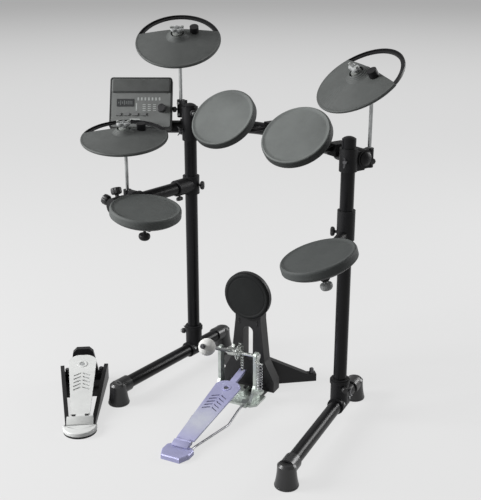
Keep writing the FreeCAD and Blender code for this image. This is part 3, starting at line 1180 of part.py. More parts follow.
def slotted_board(length, heel_width, toe_width, thickness, first_row):
    """Tapered foot plate with a round toe and rows of chevron slots."""
    toe_r = toe_width / 2
    shoulder = length - toe_r * 0.55
    k = toe_r * 0.62
    outline = [Part.LineSegment(Vector(-heel_width / 2, 9, 0), Vector(heel_width / 2, 9, 0)),
               Part.LineSegment(Vector(heel_width / 2, 9, 0), Vector(toe_r, shoulder, 0)),
               Part.Arc(Vector(toe_r, shoulder, 0), Vector(k, length - 4, 0), Vector(0, length, 0)),
               Part.Arc(Vector(0, length, 0), Vector(-k, length - 4, 0), Vector(-toe_r, shoulder, 0)),
               Part.LineSegment(Vector(-toe_r, shoulder, 0), Vector(-heel_width / 2, 9, 0))]
    face = Part.Face(Part.Wire([curve.toShape() for curve in outline]))
    board = face.extrude(Vector(0, 0, thickness))
    for row in range(SLOT_ROWS):
        y = first_row + SLOT_PITCH * row
        for side in (-1, 1):
            slot = prism([(side * 3, y + SLOT_RISE), (side * SLOT_REACH, y),
                          (side * SLOT_REACH, y - SLOT_WIDTH), (side * 3, y + SLOT_RISE - SLOT_WIDTH)],
                         thickness * 3)
            slot.translate(Vector(0, 0, -thickness))
            board = board.cut(slot)
    board.translate(Vector(0, 0, -thickness / 2))
    return board


board = slotted_board(board_length, FOOTBOARD_HEEL_WIDTH, FOOTBOARD_TOE_WIDTH, FOOTBOARD_T, 150.0)
tongue_bar = Part.makeBox(TOE_TONGUE_WIDTH, tongue_end - board_length + 30, 9,
                          Vector(-TOE_TONGUE_WIDTH / 2, board_length - 30, -FOOTBOARD_T / 2 - 8.5))
knuckle = rod(Vector(-HINGE_KNUCKLE_WIDTH / 2, 0, 0), Vector(HINGE_KNUCKLE_WIDTH / 2, 0, 0),
              HINGE_KNUCKLE_R)
knuckle_web = Part.makeBox(HINGE_KNUCKLE_WIDTH, 14, FOOTBOARD_T,
                           Vector(-HINGE_KNUCKLE_WIDTH / 2, 0, -FOOTBOARD_T / 2))
knuckle_bore = rod(Vector(-50, 0, 0), Vector(50, 0, 0), HINGE_PIN_R + FIT)
toe_ring = Part.makeCylinder(13, 2, Vector(0, board_length - 34, FOOTBOARD_T / 2 - 0.5))
toe_ring = toe_ring.cut(Part.makeCylinder(8, 4, Vector(0, board_length - 34, FOOTBOARD_T / 2)))
rise = Placement(Vector(0, FOOTBOARD_HINGE_Y, FOOTBOARD_HINGE_Z), Rotation(RIGHT, FOOTBOARD_SLOPE))
board = board.fuse([tongue_bar, knuckle, knuckle_web, toe_ring]).cut(knuckle_bore)
board = placed(board.removeSplitter(), rise)
CHAIN_X_HALF = CHAIN_WIDTH / 2
chain_low = rise.multVec(Vector(0, tongue_end, -FOOTBOARD_T / 2 - 4)).z
clevis = Part.makeBox(CHAIN_WIDTH + 0.8, 40, 40, Vector(-CHAIN_X_HALF - 0.4, SPROCKET_R - 7, chain_low - 20))
board = board.cut(clevis)
chain_pin_bore = rod(Vector(-40, SPROCKET_R, chain_low), Vector(40, SPROCKET_R, chain_low), 2.0 + FIT)
clevis_cheeks = []
for side in (-1, 1):
    cheek = rod(Vector(side * (CHAIN_X_HALF + 0.4), SPROCKET_R, chain_low),
                Vector(side * TOE_TONGUE_WIDTH / 2, SPROCKET_R, chain_low), 5.0)
    clevis_cheeks.append(cheek)
board = board.fuse(clevis_cheeks).cut(chain_pin_bore).removeSplitter()
nodes["kick_footboard"] = placed(board, KICK_FRAME)

# Chain: side plates on pins, over the front of the sprocket and down to the toe
run_length = AXLE_Z - chain_low
run_links = round(run_length / CHAIN_PITCH)
run_pitch = run_length / run_links
pins = [(SPROCKET_R, chain_low + run_pitch * k) for k in range(run_links + 1)]
wrap_step = math.degrees(CHAIN_PITCH / SPROCKET_R)
wrap_links = int((BEATER_SWING + 6) / wrap_step)
for k in range(1, wrap_links + 1):
    a = math.radians(wrap_step * k)
    pins.append((SPROCKET_R * math.cos(a), AXLE_Z + SPROCKET_R * math.sin(a)))
links = []
for k, (y, z) in enumerate(pins):
    links.append(rod(Vector(-CHAIN_X_HALF, y, z), Vector(CHAIN_X_HALF, y, z), 2.0))
for k in range(len(pins) - 1):
    (y0, z0), (y1, z1) = pins[k], pins[k + 1]
    along = unit(Vector(0, y1 - y0, z1 - z0))
    side = RIGHT.cross(along) * (CHAIN_LINK_R * 0.8)
    offset = CHAIN_X_HALF - CHAIN_PLATE_T * (1 if k % 2 else 2) - 0.05
    for hand in (-1, 1):
        low = Vector(hand * offset - (0 if hand > 0 else CHAIN_PLATE_T), y0, z0) - along * 3
        high = Vector(low.x, y1, z1) + along * 3
        corners = [low + side * 0.6, low + side * -0.6, low + along * 2.5 - side, high - along * 2.5 - side,
                   high - side * 0.6, high + side * 0.6, high - along * 2.5 + side,
                   low + along * 2.5 + side]
        face = Part.Face(Part.makePolygon(corners + corners[:1]))
        links.append(face.extrude(RIGHT * CHAIN_PLATE_T))
chain = links[0].fuse(links[1:]).removeSplitter()
nodes["pedal_chain"] = placed(chain, KICK_FRAME)


# Return spring: one helical wire between the upright's lug and the crank pin

def coil(mean_r, wire_r, turns, low, high):
    """Wire helix about Z, swept along biarcs of a quarter turn."""
    rise = (high - low) / turns
    path = []
    for quarter in range(turns * 4):
        ends = []
        for share in (0.0, 0.5, 1.0):
            t = (quarter + share) / 4
            ends.append(Vector(mean_r * math.cos(2 * math.pi * t), mean_r * math.sin(2 * math.pi * t),
                               low + rise * t))
        path.append(Part.Arc(*ends).toShape())
    tangent = Vector(0, 2 * math.pi * mean_r, rise)
    ring = Part.Wire(Part.makeCircle(wire_r, Vector(mean_r, 0, low), tangent))
    return Part.Wire(path).makePipeShell([ring], True, False)


spring_low = SPRING_FOOT_Z + SPRING_WIRE_R
spring_high = CRANK_TIP.z - 2.6 - SPRING_WIRE_R - 0.1
spring = coil(SPRING_R, SPRING_WIRE_R, SPRING_TURNS, spring_low, spring_high)
spring.translate(Vector(SPRING_X, crank_y, 0))
nodes["pedal_spring"] = placed(spring, KICK_FRAME)
print("least gap between spring turns", (spring_high - spring_low) / SPRING_TURNS - 2 * SPRING_WIRE_R)

# Heel plate with the hinge ears
heel = prism([(-HEEL_WIDTH / 2, heel_front - HEEL_LENGTH * 0.55),
              (-HEEL_WIDTH * 0.34, heel_front - HEEL_LENGTH), (HEEL_WIDTH * 0.34, heel_front - HEEL_LENGTH),
              (HEEL_WIDTH / 2, heel_front - HEEL_LENGTH * 0.55), (HEEL_WIDTH / 2, heel_front - 10),
              (HEEL_WIDTH / 2 - 10, heel_front), (10 - HEEL_WIDTH / 2, heel_front),
              (-HEEL_WIDTH / 2, heel_front - 10)], HEEL_T)
heel = heel.makeChamfer(2.5, [e for e in heel.Edges if e.BoundBox.ZMin > HEEL_T - 0.01])
ear_in = HINGE_KNUCKLE_WIDTH / 2 + GAP
ear_out = ear_in + 10
ears = []
for side in (-1, 1):
    eye = rod(Vector(side * ear_in, FOOTBOARD_HINGE_Y, FOOTBOARD_HINGE_Z),
              Vector(side * ear_out, FOOTBOARD_HINGE_Y, FOOTBOARD_HINGE_Z), HINGE_KNUCKLE_R)
    foot = side_plate([(heel_front - 14, HEEL_T - 4), (FOOTBOARD_HINGE_Y + 3, FOOTBOARD_HINGE_Z - 5),
                       (FOOTBOARD_HINGE_Y - 3, FOOTBOARD_HINGE_Z + 5), (heel_front - 14, HEEL_T + 2)], 10)
    foot.translate(RIGHT * (side * (ear_in + 5)))
    ears += [eye, foot]
hinge_bore = rod(Vector(-60, FOOTBOARD_HINGE_Y, FOOTBOARD_HINGE_Z),
                 Vector(60, FOOTBOARD_HINGE_Y, FOOTBOARD_HINGE_Z), HINGE_PIN_R + FIT)
heel = heel.fuse(ears).cut(hinge_bore)
for bore in wire_bores:
    heel = heel.cut(bore)
nodes["heel_plate"] = placed(heel.removeSplitter(), KICK_FRAME)
kick_pin = rod(Vector(-ear_out, FOOTBOARD_HINGE_Y, FOOTBOARD_HINGE_Z),
               Vector(ear_out, FOOTBOARD_HINGE_Y, FOOTBOARD_HINGE_Z), HINGE_PIN_R)


# Hi-hat pedal

HH_FRAME = Placement(Vector(HH_X, HH_Y, 0), Rotation(LIFT, HH_TURN))
hh_hinge = Vector(0, 0, HH_HINGE_Z)
rail_run = HH_FRAME_FRONT + 30
flare = math.degrees(math.atan2(HH_FRAME_FRONT_X - HH_FRAME_REAR_X, rail_run))
frame_parts = []
for side in (-1, 1):
    rail = side_plate([(0, 0), (rail_run, 0), (rail_run, HH_RAIL_FRONT_H), (rail_run - 40, HH_RAIL_FRONT_H),
                       (0, HH_RAIL_REAR_H)], HH_RAIL_T)
    frame_parts.append(placed(rail, Placement(Vector(side * HH_FRAME_REAR_X, -30, 0),
                                              Rotation(LIFT, -side * flare))))
cross = Part.makeBox(2 * HH_FRAME_FRONT_X, HH_CROSS_T, 28,
                     Vector(-HH_FRAME_FRONT_X, HH_FRAME_FRONT - HH_CROSS_T, 0))
sheet_back = HH_FRAME_FRONT - 120
floor_sheet = prism([(-HH_FRAME_FRONT_X + 10, sheet_back), (HH_FRAME_FRONT_X - 10, sheet_back),
                     (HH_FRAME_FRONT_X, HH_FRAME_FRONT - 4), (-HH_FRAME_FRONT_X, HH_FRAME_FRONT - 4)], 5)
toe_box = front_plate([(-HH_TOE_WIDTH_LOW / 2, 20), (HH_TOE_WIDTH_LOW / 2, 20),
                       (HH_TOE_WIDTH_TOP / 2, HH_TOE_TOP_Z - 12),
                       (HH_TOE_WIDTH_TOP / 2 - 12, HH_TOE_TOP_Z),
                       (12 - HH_TOE_WIDTH_TOP / 2, HH_TOE_TOP_Z),
                       (-HH_TOE_WIDTH_TOP / 2, HH_TOE_TOP_Z - 12)], HH_TOE_T)
toe_box.translate(AHEAD * (HH_FRAME_FRONT - HH_TOE_T - 2))
press_angle = math.radians(HH_SLOPE - HH_PRESS)
bumper_y = HH_BOARD_LENGTH - 44
bumper_top = HH_HINGE_Z + bumper_y * math.tan(press_angle) - HH_BOARD_T / 2 / math.cos(press_angle) - 1.5
bumper = Part.makeCone(HH_BUMPER_R + 3, HH_BUMPER_R, bumper_top - 4, Vector(0, bumper_y, 4), LIFT)
heel_disc = Part.makeCylinder(HH_HEEL_R, HH_HEEL_T, Vector(0, HH_HEEL_R - HH_HEEL_LENGTH, 0), LIFT)
heel_disc = heel_disc.makeChamfer(3, [e for e in heel_disc.Edges if e.BoundBox.ZMin > HH_HEEL_T - 0.01])
heel_disc = heel_disc.cut(Part.makeBox(200, 100, 60, Vector(-100, -12, -10)))
ear_back = -26.0
hh_ears = []
for side in (-1, 1):
    eye = rod(hh_hinge + RIGHT * (side * ear_in), hh_hinge + RIGHT * (side * ear_out), HINGE_KNUCKLE_R)
    foot = side_plate([(ear_back, HH_HEEL_T - 4), (3, HH_HINGE_Z - 5), (-3, HH_HINGE_Z + 5),
                       (ear_back, HH_HEEL_T + 2)], 10)
    foot.translate(RIGHT * (side * (ear_in + 5)))
    hh_ears += [eye, foot]
hh_base = heel_disc.fuse(frame_parts + [cross, floor_sheet, toe_box, bumper] + hh_ears)
hh_base = hh_base.cut(rod(hh_hinge - RIGHT * 30, hh_hinge + RIGHT * 30, HINGE_PIN_R + FIT))
for side in (-1, 1):
    at = Vector(side * HH_SPIKE_X, HH_FRAME_FRONT - HH_CROSS_T / 2, 0)
    hh_base = hh_base.cut(Part.makeCylinder(SPIKE_R + FIT, 60, at - LIFT, LIFT))
    floor_spikes.append(placed(floor_spike(at, 28.0), HH_FRAME))
nodes["hihat_base"] = placed(hh_base.removeSplitter(), HH_FRAME)
cover = Part.makeCylinder(HH_HEEL_R - HH_COVER_INSET, HH_COVER_T,
                          Vector(0, HH_HEEL_R - HH_HEEL_LENGTH, HH_HEEL_T), LIFT)
cover = cover.makeChamfer(1, [e for e in cover.Edges if e.BoundBox.ZMin > HH_HEEL_T + HH_COVER_T - 0.01])
cover = cover.cut(Part.makeBox(200, 100, 60, Vector(-100, ear_back - 2, 0)))
nodes["hihat_heel"] = placed(cover, HH_FRAME)
nodes["floor_spikes"] = Part.makeCompound(floor_spikes)
hh_board = slotted_board(HH_BOARD_LENGTH, HH_BOARD_HEEL_WIDTH, HH_BOARD_TOE_WIDTH, HH_BOARD_T,
                         HH_BOARD_LENGTH - 148)
hh_ring = Part.makeCylinder(14, 2, Vector(0, HH_BOARD_LENGTH - 40, HH_BOARD_T / 2 - 0.5))
hh_ring = hh_ring.cut(Part.makeCylinder(9, 4, Vector(0, HH_BOARD_LENGTH - 40, HH_BOARD_T / 2)))
hh_board = hh_board.fuse([knuckle, knuckle_web, hh_ring]).cut(knuckle_bore)
hh_board = placed(hh_board.removeSplitter(), Placement(hh_hinge, Rotation(RIGHT, HH_SLOPE)))
nodes["hihat_footboard"] = placed(hh_board, HH_FRAME)
hh_pin = rod(hh_hinge - RIGHT * ear_out, hh_hinge + RIGHT * ear_out, HINGE_PIN_R)
nodes["hinge_pins"] = Part.makeCompound([placed(kick_pin, KICK_FRAME), placed(hh_pin, HH_FRAME)])

# Move everything so that the middle of the overall box on the floor is the origin
whole = Part.makeCompound(list(nodes.values())).optimalBoundingBox(True, False)
SHIFT = Vector(-(whole.XMin + whole.XMax) / 2, -(whole.YMin + whole.YMax) / 2, -whole.ZMin)
for node_name, node_shape in nodes.items():
    node_shape.translate(SHIFT)
    node_shape.exportStep("parts/" + node_name + ".step")
    print(node_name, len(node_shape.Solids), node_shape.isValid(), round(node_shape.Volume))
print("box", whole.XLength, whole.YLength, whole.ZLength, "shift", SHIFT, len(nodes))
print("beater swing", BEATER_SWING, "press", KICK_PRESS)
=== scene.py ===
"""Looks of an electronic drum kit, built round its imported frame. Lengths are in kit millimetres
until to_row turns them into metres."""

import json
import math

import bmesh
import bpy
import numpy as np
from mathutils import Matrix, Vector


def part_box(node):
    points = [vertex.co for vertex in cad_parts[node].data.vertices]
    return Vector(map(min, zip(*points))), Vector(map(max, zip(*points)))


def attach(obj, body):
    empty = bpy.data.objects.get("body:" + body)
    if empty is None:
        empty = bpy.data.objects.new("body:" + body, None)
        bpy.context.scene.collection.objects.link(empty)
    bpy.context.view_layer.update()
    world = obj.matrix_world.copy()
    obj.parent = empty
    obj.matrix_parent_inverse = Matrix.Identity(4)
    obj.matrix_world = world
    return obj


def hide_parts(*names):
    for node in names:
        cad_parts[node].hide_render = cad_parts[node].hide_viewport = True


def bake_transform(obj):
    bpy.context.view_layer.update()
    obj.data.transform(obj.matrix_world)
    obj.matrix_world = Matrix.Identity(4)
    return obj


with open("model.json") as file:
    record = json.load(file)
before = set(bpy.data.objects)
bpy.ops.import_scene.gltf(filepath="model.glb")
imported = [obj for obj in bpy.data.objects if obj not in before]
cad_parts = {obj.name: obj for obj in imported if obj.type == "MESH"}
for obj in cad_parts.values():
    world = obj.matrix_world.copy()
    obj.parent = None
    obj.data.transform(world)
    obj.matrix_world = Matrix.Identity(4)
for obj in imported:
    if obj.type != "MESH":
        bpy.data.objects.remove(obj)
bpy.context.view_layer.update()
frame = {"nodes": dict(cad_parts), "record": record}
NODES = frame["nodes"]
SCENE = bpy.context.scene
TAU = 2 * math.pi


POST_X = 287.0         # of both posts, either side of the middle
POST_MIDDLE = np.sum(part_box("left_post"), 0) * 500.0     # of the left post in the row frame
SHIFT = POST_MIDDLE * [1.0, 1.0, 0.0] + [POST_X, 0.0, 0.0]
UP = np.array([0.0, 0.0, 1.0])

# Middle of the rim, tilt, azimuth, turn about its own axis
CYMBALS = {
    "crash": ((-302.0, -28.0, 1031.0), 29.4, 37.0, 4.0),
    "ride": ((293.0, 33.0, 972.0), 34.7, -15.4, -12.0),
    "hihat": ((-314.0, -242.0, 780.0), 10.8, 38.0, 6.0)}
CYMBAL_R = 123.0
CYMBAL_CUT = 37.0
RIM_BEVEL = 4.4        # start of the skin's roll inside its edge
RIM_DROP = 13.0
BELL_DROP = 10.0
BELL_R = 21.3
BELL_HALF_ANGLE = 50.0
SKIN_T = 4.0
SKIN_HOLE_R = 24.0
GROOVE_PITCH = 3.2
BELL_FOOT_R = 37.0
BELL_MOUTH_R = 20.0
BELL_TOP = 27.0        # above the rocking centre
FELT_LOW = 20.5
FELT_HIGH = 29.0

# Middle of the rim, tilt, azimuth
DRUMS = {
    "tom1": ((-148.0, -11.0, 828.0), 43.6, 7.3),
    "tom2": ((145.0, -46.0, 824.0), 39.2, 7.5),
    "snare": ((-157.0, -317.0, 622.0), 7.8, 80.0),
    "floor": ((364.0, -234.0, 583.0), 16.4, -42.9)}
PAD_R = 99.0
PAD_FACE_R = 90.0
PAD_SKIRT = 24.0
PAD_SINK = 2.8

KICK_AT = np.array([-18.0, -90.0, 0.0])
KICK_TURN = 14.0
AXLE_Z = 145.0
KICK_PAD_Z = 306.0
KICK_PAD_Y = 49.0
KICK_PAD_R = 72.0
KICK_PAD_T = 14.0
BEATER_LEAN = math.radians(63.0)
BEATER_LENGTH = 176.0
BEATER_HEAD_R = 25.0
HUB_AT = np.array([-21.0, 0.0, AXLE_Z])
BEATER_OUT = np.array([0.0, -math.sin(BEATER_LEAN), math.cos(BEATER_LEAN)])
BEATER_AHEAD = np.array([0.0, math.cos(BEATER_LEAN), math.sin(BEATER_LEAN)])
SPROCKET_R = 26.0
CHAIN_LOW = 72.854
CHAIN_RUN_LINKS = 8
CHAIN_WRAP_LINKS = 3
CHAIN_WRAP_STEP = 20.935
SPRING_X = 78.0
SPRING_Y = -17.855
SPRING_LOW = 45.2
SPRING_HIGH = 128.25
SPRING_R = 8.0
SPRING_WIRE_R = 1.2
SPRING_TURNS = 9

BOARD_HINGE_Y = -332.0
BOARD_HINGE_Z = 20.0
BOARD_SLOPE = 9.4
BOARD_TOE_Y = -46.0
BOARD_T = 5.0
BOARD_WEAR_Y = 95.0    # middle of the patch that the foot wears pale
HH_AT = np.array([-246.0, -517.0, 0.0])
HH_TURN = 47.0
HH_HINGE_Z = 27.0
HH_SLOPE = 16.5
HH_BOARD_LENGTH = 258.0
SLOT_ROWS = 5
SLOT_PITCH = 15.0
SLOT_REACH = 24.0
SLOT_RISE = 11.0
KNUCKLE_R = 6.5
EAR_OUT = 23.35
HH_COVER_HALF = 38.0
HH_HEEL_Y = -31.0
HH_HEEL_CUT = -28.0
HH_TRAY_R = 48.0

MODULE_AT = np.array([-423.361, -64.627, 827.588])
MODULE_X = np.array([0.76604, 0.64279, 0.0])
MODULE_Z = np.array([0.55667, -0.66341, 0.5])
MODULE_DEPTH = 42.0
BROW_WIDTH = 176.4
BROW_LENGTH = 44.4
BROW_CORNER_R = 6.7
BROW_Y = 52.95

BAR_Z = 768.0
ARM_Z = 598.0
FLOOR_ARM_Z = 566.0
LEG_Z = 50.0
LEG_KNOB_Z = 104.0
TOP_KNOB_Z = 824.0
SLEEVE_R = 24.5        # of the castings round the tubes
HOLDER_R = 12.0        # of the collars round the cymbals' rods
CRASH_HOLDER = (-323.3, 0.2)
RIDE_HOLDER = (303.9, 72.5)
HIHAT_HOLDER = (-322.3, -231.4)
SNARE_CLAMP_X = -289.6
TOM_CLAMPS = ((-48.8, 134.5), (234.1, 58.7))
# Post, turn in degrees, reach of the front and the rear boot
LEGS = ((-POST_X, 4.0, (356.0, -150.0)), (POST_X, 15.0, (386.0, -136.0)))
# Place, way of the bar, way of the screws, steps of the screws along the bar
TOP_JOINTS = (((-314.6, 32.9, BAR_Z), (0.766, 0.643, 0), (0.643, -0.766, 0.3), (-22.0, 22.0)),
              ((298.1, 41.5, BAR_Z), (0.966, -0.259, 0), (-0.259, -0.966, 0.5), (-24.0, -4.0)))


def unit(v):
    """Vector of length 1 the same way, or each of a row of them."""
    v = np.asarray(v, float)
    return v / np.linalg.norm(v, axis=-1, keepdims=True)


def turned(angle):
    """Axes of a frame turned about Z by an angle in degrees."""
    c, s = math.cos(math.radians(angle)), math.sin(math.radians(angle))
    return np.array([[c, -s, 0.0], [s, c, 0.0], [0.0, 0.0, 1.0]])


def disc_axes(tilt, azimuth, turn=0.0):
    """Axes of a disc tipped towards an azimuth, 0 facing -Y, then turned about its own Z."""
    t, a = math.radians(tilt), math.radians(azimuth)
    z = np.array([math.sin(a) * math.sin(t), -math.cos(a) * math.sin(t), math.cos(t)])
    x = np.array([math.cos(a), math.sin(a), 0.0])
    return np.stack([x, np.cross(z, x), z], 1) @ turned(turn)


def axes_along(z, x_hint=(1.0, 0.0, 0.0)):
    """Axes with Z along a direction and X as near as can be to the hint."""
    z = unit(z)
    x = np.asarray(x_hint, float)
    if abs(x @ z) > 0.95:
        x = np.array([0.0, 1.0, 0.0])
    x = unit(x - z * (x @ z))
    return np.stack([x, np.cross(z, x), z], 1)


KICK_AXES = turned(KICK_TURN)
HH_AXES = turned(HH_TURN)
MODULE_AXES = np.stack([MODULE_X, np.cross(MODULE_Z, MODULE_X), MODULE_Z], 1)


def placed(points, axes, origin):
    return np.asarray(points, float) @ np.asarray(axes).T + np.asarray(origin)


def kick(x, y, z):
    return placed([x, y, z], KICK_AXES, KICK_AT)


def to_row(points):
    """Kit millimetres to the row frame in metres."""
    return (np.asarray(points, float) + SHIFT) / 1000.0


def tipped(slope):
    """Axes of a board tipped up towards its toe by an angle in degrees."""
    c, s = math.cos(math.radians(slope)), math.sin(math.radians(slope))
    return np.array([[1.0, 0.0, 0.0], [0.0, c, -s], [0.0, s, c]])


KICK_BOARD_AXES = KICK_AXES @ tipped(BOARD_SLOPE)
KICK_BOARD_AT = kick(0.0, BOARD_HINGE_Y, BOARD_HINGE_Z)
KICK_BOARD_LENGTH = (BOARD_TOE_Y - BOARD_HINGE_Y) / math.cos(math.radians(BOARD_SLOPE))
HH_BOARD_AXES = HH_AXES @ tipped(HH_SLOPE)
HH_BOARD_AT = placed([0.0, 0.0, HH_HINGE_Z], HH_AXES, HH_AT)


# Surfaces on grids

MERGE = 2e-6           # metres between points that count as one


def lathe(profile, axes, origin, steps=96, lobes=0, depth=0.0):
    """Profile of (r, z) turned about the frame's Z: x = r cos a, y = r sin a. With lobes, the
    radius swells and shrinks with the angle: r (1 + depth cos(lobes a))."""
    profile = np.asarray(profile, float)
    a = np.linspace(0, TAU, steps, endpoint=False)[:, None]
    r = profile[None, :, 0] * (1 + depth * np.cos(lobes * a))
    z = np.broadcast_to(profile[None, :, 1], (steps, len(profile)))
    local = np.stack([r * np.cos(a), r * np.sin(a), z], -1)
    return placed(local, axes, origin), True, False


def sweep(path, section, across):
    """Section carried along a path. Its first axis lies as near as can be to the direction
    across, and both ends are drawn in to the path."""
    path = np.asarray(path, float)
    tangent = unit(np.gradient(path, axis=0))
    first = unit(across - tangent * np.sum(across * tangent, 1, keepdims=True))
    second = np.cross(tangent, first)
    rings = (path[:, None] + first[:, None] * section[None, :, :1]
             + second[:, None] * section[None, :, 1:])
    ends = [np.broadcast_to(path[k], rings[:1].shape) for k in (0, -1)]
    return np.concatenate([ends[0], rings, ends[1]]), False, True


def rounded_rect(width, length, radius, per_corner=6):
    """Closed outline of a rectangle with round corners, counter-clockwise."""
    a = np.linspace(0, math.pi / 2, per_corner)
    quarter = np.stack([np.cos(a), np.sin(a)], -1) * radius
    spin = np.array([[0.0, 1.0], [-1.0, 0.0]])
    corners = []
    half = np.array([width / 2 - radius, length / 2 - radius])
    for k, sign in enumerate(((1, 1), (-1, 1), (-1, -1), (1, -1))):
        corners.append(quarter @ np.linalg.matrix_power(spin, k) + half * sign)
    return np.concatenate(corners)


def stacked(outline, levels, axes, origin):
    """Outline raised through levels of (inset, z), each inset along the outline's normals,
    and closed at both ends."""
    outline = np.asarray(outline, float)
    ahead = unit(np.roll(outline, -1, 0) - np.roll(outline, 1, 0))
    inward = np.stack([-ahead[:, 1], ahead[:, 0]], -1)
    rows = [np.column_stack([outline + inward * inset, np.full(len(outline), z)])
            for inset, z in levels]
    centre = outline.mean(0)
    for at, z in ((0, levels[0][1]), (len(rows) + 1, levels[-1][1])):
        rows.insert(at, np.broadcast_to([centre[0], centre[1], z], rows[1].shape))
    return placed(np.stack(rows), axes, origin), False, True


def shown(name, data):
    """An object for a mesh, lamp or camera, put in the scene."""
    obj = bpy.data.objects.new(name, data)
    SCENE.collection.objects.link(obj)
    return obj


def build(name, grids, body, slot, material=None, replaces=(), sharp=32.0):
    """One piece from point grids (points, wraps along u, wraps along v): quads between
    neighbours, doubles merged, faces turned outwards. It has its slot's own finish where no other
    is given, and a piece that bends between two bodies has no body of its own."""
    verts, faces, start = [], [], 0
    for points, wrap_u, wrap_v in grids:
        nu, nv = points.shape[:2]
        index = np.arange(nu * nv).reshape(nu, nv) + start
        if wrap_u:
            index = np.concatenate([index, index[:1]], 0)
        if wrap_v:
            index = np.concatenate([index, index[:, :1]], 1)
        quads = np.stack([index[:-1, :-1], index[1:, :-1], index[1:, 1:], index[:-1, 1:]], -1)
        verts.append(points.reshape(-1, 3))
        faces.append(quads.reshape(-1, 4))
        start += nu * nv
    mesh = bpy.data.meshes.new(name)
    mesh.from_pydata(to_row(np.concatenate(verts)).tolist(), [], np.concatenate(faces).tolist())
    work = bmesh.new()
    work.from_mesh(mesh)
    bmesh.ops.remove_doubles(work, verts=work.verts, dist=MERGE)
    bmesh.ops.dissolve_degenerate(work, edges=work.edges, dist=MERGE / 2)
    bmesh.ops.recalc_face_normals(work, faces=work.faces)
    work.to_mesh(mesh)
    work.free()
    mesh.shade_smooth()
    mesh.set_sharp_from_angle(angle=math.radians(sharp))
    mesh.materials.append(material or FINISH[slot])
    obj = shown(name, mesh)
    if body:
        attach(obj, body)
    if replaces:
        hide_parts(*replaces)
    return obj


def ring_attribute(obj, axes, origin):
    """Stores each vertex's distance from the frame's Z axis, in metres, as ring_r."""
    mesh = obj.data
    co = np.empty(len(mesh.vertices) * 3, np.float32)
    mesh.vertices.foreach_get("co", co)
    local = (co.reshape(-1, 3) - to_row(origin)) @ np.asarray(axes)
    field = mesh.attributes.new("ring_r", "FLOAT", "POINT")
    field.data.foreach_set("value", np.hypot(local[:, 0], local[:, 1]).astype(np.float32))


# Shader groups

def add(tree, kind, wires=(), **fields):
    """A node of that kind; wires feed or set its inputs, fields set its own settings."""
    node = tree.nodes.new(kind)
    for field, value in fields.items():
        setattr(node, field, value)
    for key, source in dict(wires).items():
        if isinstance(source, bpy.types.NodeSocket):
            tree.links.new(source, node.inputs[key])
        else:
            node.inputs[key].default_value = source
    return node


def maths(tree, operation, *values):
    """Result of a math node on its sockets or numbers."""
    return add(tree, "ShaderNodeMath", enumerate(values), operation=operation).outputs[0]


def remap(tree, value, low=0.0, high=1.0, start=0.0, end=1.0, ease="LINEAR"):
    """Value carried from low and high to start and end, and held there beyond them."""
    return add(tree, "ShaderNodeMapRange", {"Value": value, "From Min": low, "From Max": high,
                                            "To Min": start, "To Max": end},
               interpolation_type=ease).outputs[0]


def mixed(tree, share, first, second):
    """Colour that goes from the first to the second with the share."""
    return add(tree, "ShaderNodeMix", {0: share, 6: first, 7: second}, data_type="RGBA").outputs[2]


def here(tree):
    """Place on the object, in its own coordinates."""
    return add(tree, "ShaderNodeTexCoord").outputs["Object"]


def noise(tree, where, scale, detail, rough=0.5):
    """Soft noise at a place."""
    return add(tree, "ShaderNodeTexNoise", {"Vector": where, "Scale": scale, "Detail": detail,
                                            "Roughness": rough}).outputs["Fac"]


def ring_radius(tree):
    """Distance from the axis of a turned piece, stored as ring_r."""
    return add(tree, "ShaderNodeAttribute", attribute_name="ring_r").outputs["Fac"]


def new_group(name, inputs, output):
    """An empty shader group with named inputs (label, default) and one output. Those labelled
    Color are colours, the others numbers."""
    tree = bpy.data.node_groups.new(name, "ShaderNodeTree")

    def socket(label, side):
        """A labelled way into or out of the group."""
        kind = "NodeSocketColor" if label == "Color" else "NodeSocketFloat"
        return tree.interface.new_socket(label, in_out=side, socket_type=kind)

    for label, default in inputs:
        socket(label, "INPUT").default_value = default
    socket(output, "OUTPUT")
    return tree, tree.nodes.new("NodeGroupInput").outputs, tree.nodes.new("NodeGroupOutput").inputs


def mottle_group():
    """Colour lightened and darkened by soft noise: colour times 1 - depth to 1 + depth."""
    tree, enter, leave = new_group(
        "mottle", [("Color", (1, 1, 1, 1)), ("Scale", 20.0), ("Depth", 0.1)], "Color")
    soft = noise(tree, here(tree), enter["Scale"], 5.0, 0.6)
    low = maths(tree, "SUBTRACT", 1.0, enter["Depth"])
    high = maths(tree, "ADD", 1.0, enter["Depth"])
    share = remap(tree, soft, 0.32, 0.68, low, high)
    scaled = add(tree, "ShaderNodeVectorMath", {0: enter["Color"], "Scale": share}, operation="SCALE")
    tree.links.new(scaled.outputs[0], leave["Color"])
    return tree


def grain_group():
    """Height of a moulded or cast skin: fine noise with a cell pattern laid over it."""
    tree, enter, leave = new_group("grain", [("Scale", 900.0), ("Cells", 0.5)], "Height")
    where = here(tree)
    fine = noise(tree, where, enter["Scale"], 3.0)
    cells = add(tree, "ShaderNodeTexVoronoi", {"Vector": where, "Scale": enter["Scale"]})
    both = add(tree, "ShaderNodeMix", {0: enter["Cells"], 2: fine, 3: cells.outputs["Distance"]})
    tree.links.new(both.outputs[0], leave["Height"])
    return tree


def scuff_group():
    """Mask of hair-thin rubs: noise drawn out along one axis and cut near its crest."""
    tree, enter, leave = new_group("scuffs", [("Scale", 60.0), ("Amount", 0.5)], "Mask")
    drawn = add(tree, "ShaderNodeMapping", {"Vector": here(tree), "Rotation": (0.4, 0.7, 0.3),
                                            "Scale": (1.0, 14.0, 3.0)})
    crest = remap(tree, noise(tree, drawn.outputs[0], enter["Scale"], 6.0, 0.7), 0.56, 0.72)
    tree.links.new(maths(tree, "MULTIPLY", crest, enter["Amount"]), leave["Mask"])
    return tree


